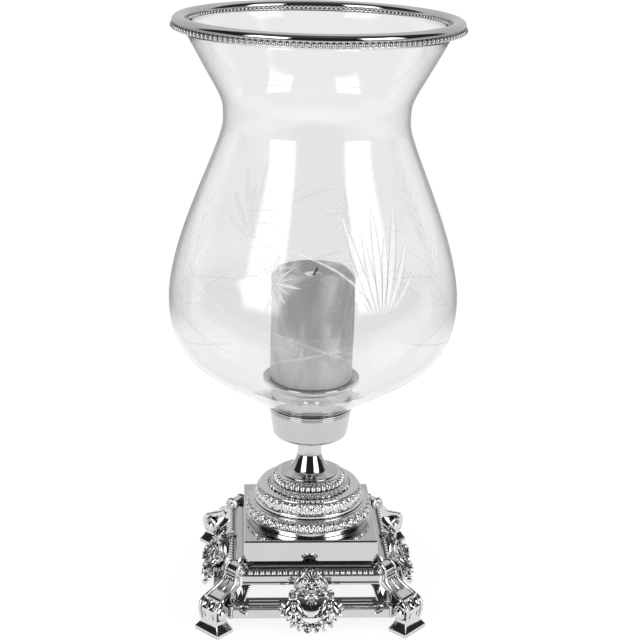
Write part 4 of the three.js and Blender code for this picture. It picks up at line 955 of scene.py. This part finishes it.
def leg_path():
    """Outer line of the leg from its top scroll over the hollow and the knee to the pad."""
    x, z, r = TOP_SCROLL
    r = r - 0.2
    scroll = arc(x, z, r, 200, 4, 24)
    hollow = bezier((x + r, z), (x + r, z - 9.0), (104.5, KNEE_HEIGHT + 3.6), (KNEE_IN, KNEE_HEIGHT), 30)
    knee = bezier((KNEE_IN, KNEE_HEIGHT), (118.8, KNEE_HEIGHT - 2.1), (KNEE_OUT, 25.5),
                  (KNEE_OUT, SHIN_TOP), 18)
    shin = np.linspace((KNEE_OUT, SHIN_TOP), (KNEE_OUT - 1.2, SHIN_FOOT), 8)
    return np.vstack([scroll, hollow[1:], knee[1:], shin[1:]]), len(scroll)


def leg_face(flute):
    """Across the leg: share of the half width and depth below its face."""
    face = []
    for x in np.linspace(-1, 1, 49):
        side = abs(x)
        groove = math.sin(math.pi * (side - 0.05) / 0.6) ** 0.55 if 0.05 < side < 0.65 else 0
        roll = math.sqrt(max(0, 1 - ((side - 0.86) / 0.14) ** 2)) if side > 0.72 else 0
        quirk = math.exp(-((side - 0.69) / 0.03) ** 2)
        face.append((x, flute * groove + EDGE_ROLL * (0.7 * quirk - roll)))
    return face


def leg_body():
    """Solid leg: fluted hollow, plain panel, fluted knee, plain shin and hollowed flanks."""
    path, start = leg_path()
    along = directions(path)
    out = np.stack([-along[:, 1], along[:, 0]], 1)
    share = np.clip((np.arange(len(path)) - start) / (len(path) - start), 0, 1)
    rings = []
    for (x, z), (ox, oz), s in zip(path, out, share):
        half = np.interp(s, (0, 0.25, 0.62, 0.8, 1), (LEG_WIDTH_TOP, 16.5, 22, 22, 19.5)) / 2
        neck_flute = smoothstep(0.04, 0.09, s) * smoothstep(0.4, 0.33, s)
        knee_flute = smoothstep(0.57, 0.6, s) * smoothstep(0.8, 0.74, s)
        step = 0.7 * smoothstep(0.52, 0.55, s) * smoothstep(0.58, 0.56, s)
        face = leg_face(FLUTE_DEPTH * max(neck_flute, knee_flute))
        section = [(half * y, d + step) for y, d in face]
        depth = FLANK_DEPTH * smoothstep(-0.02, 0.3, s) + 2.6
        hollow = (half - min(WEB_HALF, half - 1)) * smoothstep(0, 0.2, s)
        flank = [(half - 0.4 - hollow * math.sin(math.pi / 2 * f) ** 1.4, f * depth)
                 for f in (0.15, 0.35, 0.6, 0.8, 1.0)]
        section += flank + [(-y, d) for y, d in flank[::-1]]
        rings.append([(x - ox * d, y, z - oz * d) for y, d in section])
    return skin(rings, caps=True)


def leg_scrolls():
    """Rolled ends: the curl at the head and the boss with its ring on each flank."""
    x, z, r = TOP_SCROLL
    core = [(x, t, z) for t in (-6.4, -6.1, 6.1, 6.4)]
    shapes = [tube(core, [r - 2.2, r - 1.4, r - 1.4, r - 2.2], 28)]
    bx, bz, br = BOSS
    for side in (-1, 1):
        shapes.append(ball((x, side * 6.2, z), (2.8, 1.4, 2.8), 18, 10))
        shapes.append(ball((bx, side * BOSS_OUT, bz), (br, 3.4, br), 24, 14))
        ring = [(rx, side * BOSS_OUT, rz) for rx, rz in arc(bx, bz, br + 1.2, 35, 215, 20)]
        shapes.append(tube(ring, np.linspace(1.5, 0.5, len(ring)), 10))
    return merge(*shapes)


def leg_clasp():
    """Two stepped bands round the neck of the leg."""
    shapes = []
    for x, z, half, size in ((94.2, 45.4, 7.8, 1.4), (94.1, 42.2, 7.6, 1.2)):
        bar = [(x, t * half, z) for t in (-1, -0.92, 0, 0.92, 1)]
        shapes.append(tube(bar, [size * 0.4, size, size * 1.1, size, size * 0.4], 12))
    return merge(*shapes)


def foot_pad():
    """Pad with an upright lip and hollowed sides that rise to the leg."""
    waist, rise, soft = 0.66, SHIN_FOOT + 0.4 - FOOT_LIP, 0.6
    flare = bezier((0.96, FOOT_LIP + 0.1), (0.83, FOOT_LIP + 0.3 * rise),
                   (waist + 0.02, FOOT_LIP + 0.55 * rise), (waist, FOOT_LIP + rise), 12)
    rings = []
    for size, z in [(0.97, 0.0), (1.0, 0.4), (1.0, FOOT_LIP - 0.5), (0.97, FOOT_LIP), *flare,
                    (waist - 0.06, SHIN_FOOT + 1.2)]:
        hx, hy = FOOT_DEPTH / 2 * size - soft, FOOT_WIDTH / 2 * size - soft
        ring = []
        for k, (sx, sy) in enumerate(((1, 1), (-1, 1), (-1, -1), (1, -1))):
            bend = arc(0, 0, soft, 90 * k, 90 * k + 90, 3)
            ring += [(FOOT_SPREAD + sx * hx + x, sy * hy + y, z) for x, y in bend]
        rings.append(ring)
    return skin(rings, caps=True)


def leg_root():
    """Web behind the leg, the block between the rails, the flank between the posts and the lug."""
    inner, block_top, block_out, web = 89.8, 22.3, 106.0, 6.0
    corner = (block_out, block_top)
    plates = [skin([[(x, y, z) for x, z in side] for y in (-half, half)], caps=True) for half, side in (
        (web, ((inner, 24), (inner, 41.5), (94.5, 40.0), (104, 33.6), (113, 27), (115, 20), corner)),
        (LEG_WIDTH_LOW / 2, ((inner, RAIL_FOOT), (block_out, RAIL_FOOT), corner, (inner, block_top))),
        (web, ((64.2, 43.7), (84.6, 43.7), (84.6, 46.7), (64.2, 46.7))))]
    shares = np.linspace(0, 1, 7)
    rings = []
    for f in np.linspace(0, 1, 9):
        z, half = block_top + 11.7 * f, 6.1 + 5.1 * (1 - f) ** 1.25
        far = 105.0 - 5.4 * f
        side = [(inner + (far - inner) * g, half - 1.3 * math.sin(math.pi * g), z) for g in shares]
        rings.append(side + [(x, -y, z) for x, y, _ in side[::-1]])
    return merge(*plates, skin(rings, caps=True))


def leg_leaves():
    """Leaf tip at the head of the leg and two drops on its shin."""
    tip = leaf(7.0, 6.4, 2.0, curl=-1.0, lobes=3, taper=0.6)
    leaves = [framed(tip, (84.0, 0, 49.0), (-0.22, 0, 0.975), (0, 1, 0), (0.975, 0, 0.22))]
    for side in (-1, 1):
        drop = leaf(5.4, 2.6, 0.5, steps=8)
        leaves.append(framed(drop, (KNEE_OUT - 0.1, side * 4.6, 18.8), (0, 0, -1), (0, 1, 0), (1, 0, 0)))
    return merge(*leaves)


def legs():
    whole = merge(leg_body(), leg_scrolls(), leg_clasp(), foot_pad(), leg_root(), leg_leaves())
    repeated("scroll", "leg", whole, CAST, CORNERS, sharp=34)


# Masks and garlands, on the front side

MASK_CENTRE, MASK_HALF_WIDTH, MASK_HALF_HEIGHT, MASK_TAPER = 38.7, 13.4, 11.2, 0.5
MASK_BACK = TRAY_HALF + 0.3
MASK_LEAN_START, MASK_LEAN = 5.0, 1.0

# Forms of the face as height, distance from the middle line, place up, half width and half height:
# muzzle, upper lips, nose bridge, nose, brows, eye hollows, eyes, cheeks, mouth, chin and forehead crease
FACE_FORMS = (
    (3.4, 0, -3.8, 3.6, 2.6), (1.3, 2.0, -4.6, 1.6, 1.7), (2.0, 0, 0.6, 1.5, 3.4), (1.1, 0, -2.0, 2.2, 0.9),
    (1.9, 3.5, 3.4, 2.2, 1.1), (-2.6, 3.6, 0.8, 1.6, 1.1), (1.2, 3.5, 0.6, 0.8, 0.6),
    (1.4, 5.6, -2.4, 1.8, 2.0), (-3.4, 0, -7.2, 3.4, 0.9), (1.8, 0, -9.4, 3.0, 1.2),
    (-1.0, 0, 5.4, 0.8, 2.6),
)


def mask_depth(x, y):
    """Depth of the lion's face over its back at x across and y up from its middle."""
    up = y / MASK_HALF_HEIGHT
    ring = np.hypot(up, x / (MASK_HALF_WIDTH * (1 - MASK_TAPER * up)))
    dome = 2.0 + 6.2 * np.sqrt(np.maximum(0, 1 - ring * ring))
    depth = dome - MASK_LEAN * np.maximum(0, y - MASK_LEAN_START)
    for height, across, middle, wide, tall in FACE_FORMS:
        for centre in (across, -across) if across else (0,):
            depth = depth + height * np.exp(-((x - centre) / wide) ** 2 - ((y - middle) / tall) ** 2)
    return depth


def on_mask(x, y, lift):
    return np.stack([x, -(MASK_BACK + mask_depth(x, y) + lift), MASK_CENTRE + y], -1)


def mask_face():
    angle = np.linspace(0, 2 * np.pi, 96, endpoint=False)
    rings = []
    for ring in np.linspace(1, 0.02, 32):
        x = MASK_HALF_WIDTH * ring * np.sin(angle) * (1 - MASK_TAPER * np.cos(angle))
        y = MASK_HALF_HEIGHT * ring * np.cos(angle)
        rings.append(on_mask(x, y, 0))
        if len(rings) == 1:
            rings.insert(0, rings[0] * (1, 0, 1) + (0, -MASK_BACK, 0))
    return skin(rings, caps=True)


def mane():
    """Heavy locks that fall from the crown round the face, and a tuft on top."""
    locks = []
    sweeps = (
        ((1.0, 7.8), (3.6, 6.2), (6.2, 2.6), (6.8, -1.8), 1.6),
        ((2.4, 7.4), (6.0, 5.0), (9.0, 1.0), (10.0, -4.2), 1.8),
        ((4.6, 5.6), (8.6, 3.0), (12.0, -1.0), (12.6, -6.4), 1.6),
        ((7.0, -1.4), (8.8, -2.8), (9.2, -5.6), (7.0, -8.0), 1.6),
    )
    for side in (-1, 1):
        for *points, size in sweeps:
            x, y = bezier(*points, 14).T
            share = np.linspace(0, 1, len(x))
            swell = size * (0.45 + 0.55 * np.sin(np.pi * np.clip(share * 0.8 + 0.1, 0, 1)))
            locks.append(tube(on_mask(side * x, y, 0.25 * size), swell, 12))
            locks.append(ball(on_mask(side * x[-1], y[-1], 0.7 * size), size * 0.85, 14, 9))
    for k in range(-2, 3):
        c, s = cos_sin(28 * k)
        along = np.array((0.9 * s, 0.64 * c, 0.77 * c))
        tuft = leaf(9.2 - 1.5 * abs(k), 3.8, 2.4, curl=1.0, taper=0.6)
        locks.append(laid(tuft, on_mask(1.2 * k, 6.0, 1.6), along, np.array((0, -0.77, 0.64))))
    return merge(*locks)


def palmette():
    """Fan of lobes under the chin, lying on the slope of the rail, with two small scrolls."""
    down = unit(np.array([0, RAIL_IN - RAIL_OUT, RAIL_FOOT + RAIL_FACE - RAIL_TOP]))
    out = np.array([0, down[2], -down[1]])
    root = np.array([0, -(RAIL_IN + 0.8), RAIL_TOP + 1.2])
    lobes = []
    for lean, length in ((0, 10.6), (-26, 8.8), (26, 8.8), (-52, 7.2), (52, 7.2)):
        c, s = cos_sin(lean)
        along = down * c + np.array([s, 0, 0])
        lobes.append(laid(leaf(length, 4.4, 2.4, curl=0.6, taper=0.6), root, along, out))
    for side in (-1, 1):
        lobes.append(ball(root + (side * 4.6, -1.4, 0.4), (1.7, 1.5, 1.7), 12, 8))
    lobes.append(ball(root + down * 2.2 + out * 1.6, (2.2, 1.6, 1.8), 14, 8))
    lobes.append(ball(root + (0, 1.0, 1.4), (9.0, 2.6, 3.6), 20, 10))
    return merge(*lobes)


def apron():
    """Plain shield that falls from the chin over the rail and ends in a blunt point."""
    fall = bezier((RAIL_IN - 0.4, RAIL_TOP + 3.0), (RAIL_IN + 4.5, RAIL_TOP), (RAIL_OUT + 1.0, 23.0),
                  (RAIL_OUT + 1.0, RAIL_FOOT + 1.0), 18)
    across = np.linspace(-1, 1, 15)
    rings = []
    for share, (out, z) in zip(np.linspace(0, 1, len(fall)), fall):
        half = 11.8 * (1 - 0.56 * smoothstep(0.45, 1.0, share))
        front = [(half * t, -(out + 1.1 * math.sqrt(1 - 0.9 * t * t)), z) for t in across]
        rings.append(front + [(half * t, -(out - 0.6), z) for t in across[::-1]])
    return skin(rings, caps=True)


def masks():
    whole = merge(mask_face(), mane(), palmette(), apron())
    repeated("lion", "mask", whole, CAST, SIDES, sharp=70)


GARLAND_HALF, GARLAND_DROP, GARLAND_SIZE = 15.4, 26.8, 4.4
MASK_JAW = MASK_CENTRE - MASK_HALF_HEIGHT / 2
GARLAND_WIDEST = MASK_JAW - GARLAND_DROP * 0.62


def garland_path(count):
    """Line of the festoon from one side of the mask to the other."""
    out = RAIL_OUT + 0.3 + GARLAND_SIZE + 0.6
    half = np.array([(MASK_HALF_WIDTH * 1.1 + 1.4, -(MASK_BACK + 6.8), MASK_JAW + 0.6),
                     (GARLAND_HALF * 0.97, -(out - 2), MASK_JAW - GARLAND_DROP * 0.28),
                     (GARLAND_HALF, -out, GARLAND_WIDEST),
                     (GARLAND_HALF * 0.62, -out, MASK_JAW - GARLAND_DROP * 0.92)])
    bottom = np.array([(0, -out, MASK_JAW - GARLAND_DROP - 0.9)])
    line = np.vstack([half, bottom, (half * (-1, 1, 1))[::-1]])
    at = np.concatenate([[0], np.cumsum(np.linalg.norm(np.diff(line, axis=0), axis=1))])
    fine = np.linspace(0, at[-1], 200)
    path = np.stack([np.interp(fine, at, line[:, k]) for k in range(3)], 1)
    for _ in range(60):
        path[1:-1] = (path[:-2] + 2 * path[1:-1] + path[2:]) / 4
    return path[np.linspace(0, 199, count).round().astype(int)]


def flower(size, petals):
    """Open flower facing +Z."""
    parts = [ball((0, 0, size * 0.3), size * 0.34, 10, 8)]
    for k in range(petals):
        c, s = cos_sin(360 * k / petals)
        petal = leaf(size, size * 1.1, size * 0.42, curl=size * 0.2, steps=8, taper=0.4)
        root = (0.12 * size * c, 0.12 * size * s, 0)
        parts.append(framed(petal, root, (c, s, 0.2), (-s, c, 0), (0, 0, 1)))
    return merge(*parts)


def facing(normal, spin):
    """Axes whose third points along normal, turned about it by spin."""
    n = unit(normal)
    u = unit(np.cross(NEAR_UP, n))
    v = np.cross(n, u)
    return math.cos(spin) * u + math.sin(spin) * v, math.cos(spin) * v - math.sin(spin) * u, n


def festoon():
    """Rope of overlapping leaves with flowers and berries along its front."""
    count, rope_steps = 15, 60
    path = garland_path(count)
    ends = np.minimum(np.arange(rope_steps), np.arange(rope_steps)[::-1]) / rope_steps
    thick = 3.8 * np.minimum(1, 0.4 + 5 * ends) * (1 - 0.4 * smoothstep(0.3, 0.46, ends))
    shapes = [tube(garland_path(rope_steps), thick, 12)]
    front = np.array([0, -1.0, 0.15])
    for k, (p, t) in enumerate(zip(path, directions(path))):
        t = t * (1 if 2 * k < count else -1)
        beside = unit(np.cross(t, front))
        near_end = min(k, count - 1 - k)
        size = 1.42 * GARLAND_SIZE * min(1, 0.62 + 0.2 * near_end) * (1 - 0.3 * smoothstep(3.5, 6, near_end))
        for side in (-1, 1):
            way = 0.86 * t + 0.5 * side * beside
            out = 0.85 * front + 0.5 * side * beside
            sprout = leaf(size * 1.2, size, size * 0.6, curl=size * 0.15, lobes=2, steps=12, taper=0.42)
            shapes.append(laid(sprout, p + 0.2 * size * (side * beside + front), way, out))
        at = p + front * size * 0.62
        if k % 2:
            shapes.append(framed(flower(size * 0.6, 5), at, *facing(front, 1.3 * k)))
        else:
            shapes.append(ball(at, size * 0.4, 14, 9))
    return merge(*shapes)


def sprigs():
    """Leaves spread over the face of the rail at both sides of the festoon."""
    twigs = []
    for side in (-1, 1):
        for lean, length in ((40, 8.0), (10, 9.0), (-18, 7.0)):
            c, s = cos_sin(lean)
            axes = ((side * c, -0.05, s), (-side * s, 0, c), (0, -1, 0))
            root = (side * (GARLAND_HALF + 3.4), -(RAIL_OUT + 2.2), GARLAND_WIDEST + 3.4 + lean * 0.06)
            twigs.append(framed(leaf(length, 5.2, 2.8, curl=0.6, lobes=2, taper=0.45), root, *axes))
        berry = (side * (GARLAND_HALF + 9.8), -(RAIL_OUT + 2.6), GARLAND_WIDEST + 5.4)
        twigs.append(ball(berry, 2.3, 12, 8))
    return merge(*twigs)


def garlands():
    repeated("festoon", "garland", merge(festoon(), sprigs()), CAST, SIDES, sharp=50)


def carried_over():
    """Fasteners and the soft ring keep their CAD shapes."""
    finishes = {"screw": STEEL, "tie_rod": STEEL, "rod_washer": STEEL, "nut": STEEL, "gasket": SOFT_RING}
    for name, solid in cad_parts.items():
        for word, material in finishes.items():
            if word in name:
                solid.data.materials.clear()
                solid.data.materials.append(material)


# Floor, light and camera

CAMERA_PLACE = (-60.5, -1121.4, 627.6)
CAMERA_YAW, CAMERA_PITCH, CAMERA_ROLL = 0.0595, 0.3276, 0.0241
CAMERA_LENS = 79.92


def camera():
    data = bpy.data.cameras.new("camera")
    data.lens, data.sensor_width = CAMERA_LENS, 36
    made = placed("camera", data)
    turn = Matrix.Rotation(-CAMERA_YAW, 3, "Z")
    fall, flat = math.sin(CAMERA_PITCH), math.cos(CAMERA_PITCH)
    level, ahead, upward = (turn @ Vector(way) for way in ((1, 0, 0), (0, flat, -fall), (0, fall, flat)))
    right = level * math.cos(CAMERA_ROLL) + upward * math.sin(CAMERA_ROLL)
    top = upward * math.cos(CAMERA_ROLL) - level * math.sin(CAMERA_ROLL)
    made.matrix_world = Matrix((right, top, -ahead)).transposed().to_4x4()
    made.location = Vector(CAMERA_PLACE) * MM
    bpy.context.scene.camera = made


FLOOR_REACH, FLOOR_FRONT = 14.0, -1.2
FLOOR_GLOW, FLOOR_DIM, BEHIND_GLASS = 0.82, 0.26, 0.68
FLOOR_NEAR, FLOOR_FAR = 0.5, 0.95


def straight_view(tree):
    """1 for what the eye sees directly or through the glass, 0 for mirrored light."""
    through = calc(tree, "MAXIMUM", ray(tree, "Camera"), ray(tree, "Transmission"))
    mirrors = node(tree, "ShaderNodeLightPath").outputs["Glossy Depth"]
    return calc(tree, "MULTIPLY", through, calc(tree, "LESS_THAN", mirrors, 0.5))


def floor():
    """White light table, so that hardly any shadow shows under the lantern."""
    mesh = bpy.data.meshes.new("floor")
    corners = [(-FLOOR_REACH, FLOOR_FRONT), (FLOOR_REACH, FLOOR_FRONT), (FLOOR_REACH, FLOOR_REACH),
               (-FLOOR_REACH, FLOOR_REACH)]
    mesh.from_pydata([(x, y, 0) for x, y in corners], [], [(0, 1, 2, 3)])
    material, tree = new_material("floor_paper")
    away = distance(tree, node(tree, "ShaderNodeTexCoord").outputs["Object"])
    mirrored = remap(tree, away, FLOOR_NEAR, FLOOR_FAR, FLOOR_GLOW, FLOOR_DIM)
    seen = blend(tree, ray(tree, "Camera"), BEHIND_GLASS, FLOOR_GLOW)
    glow = blend(tree, straight_view(tree), mirrored, seen)
    mesh.materials.append(finish_surface(material, principled(tree, {
        "Base Color": mottled(tree, 6.0, 3.0, 0.19, 0.21), "Roughness": 0.9, "Specular IOR Level": 0.1,
        "Emission Color": (1, 1, 1, 1), "Emission Strength": glow,
    })))
    placed("floor", mesh)


WALL, CEILING, BOX_GLOW, LAMP, BACKDROP = 0.81, 0.95, 4.6, 1.15, 1.25
FRONT_DARK = (0.03, 0.14)
BOX_SWING, BOX_LIFT, BOX_SHIFT = (27, 33, 58, 66), (-2, 5, 38, 44), -0.04


def studio():
    """White room, dark in front, with two upright soft boxes there."""
    world = bpy.data.worlds.new("studio")
    bpy.context.scene.world = world
    world.use_nodes = True
    tree = world.node_tree
    tree.nodes.clear()
    way = node(tree, "ShaderNodeSeparateXYZ", {0: node(tree, "ShaderNodeTexCoord").outputs["Generated"]})
    x, y, z = (way.outputs[k] for k in "XYZ")
    azimuth = calc(tree, "ARCTAN2", x, calc(tree, "MULTIPLY", y, -1.0))
    swing = calc(tree, "ABSOLUTE", calc(tree, "ADD", azimuth, BOX_SHIFT))
    lift = calc(tree, "ARCSINE", z)

    def degrees(value, low, high, out_low, out_high):
        return remap(tree, value, math.radians(low), math.radians(high), out_low, out_high)

    def between(value, start, full, fade, end):
        rise, fall = degrees(value, start, full, 0.0, 1.0), degrees(value, fade, end, 1.0, 0.0)
        return calc(tree, "MULTIPLY", rise, fall)

    room = blend(tree, remap(tree, y, 0.2, 0.45, 1.0, 0.0), degrees(lift, 28, 44, WALL, CEILING),
                 degrees(lift, 40, 75, *FRONT_DARK))
    box = calc(tree, "MULTIPLY", between(swing, *BOX_SWING), between(lift, *BOX_LIFT))
    glow = calc(tree, "MULTIPLY_ADD", box, BOX_GLOW, room)
    shown = blend(tree, straight_view(tree), glow, BACKDROP)
    even = blend(tree, ray(tree, "Diffuse"), shown, LAMP)
    light = node(tree, "ShaderNodeBackground", {"Strength": even})
    node(tree, "ShaderNodeOutputWorld", {"Surface": light.outputs["Background"]})
    bpy.context.scene.view_settings.view_transform = "Standard"


camera()
floor()
studio()
glass_shade()
engraving()
rim()
rim_beads()
candle()
wick()
candle_pan()
socket_cup()
stem()
fluted_collar()
upper_tier()
lower_tier()
plinth()
tray()
bead_strips()
side_panels()
legs()
masks()
garlands()
carried_over()
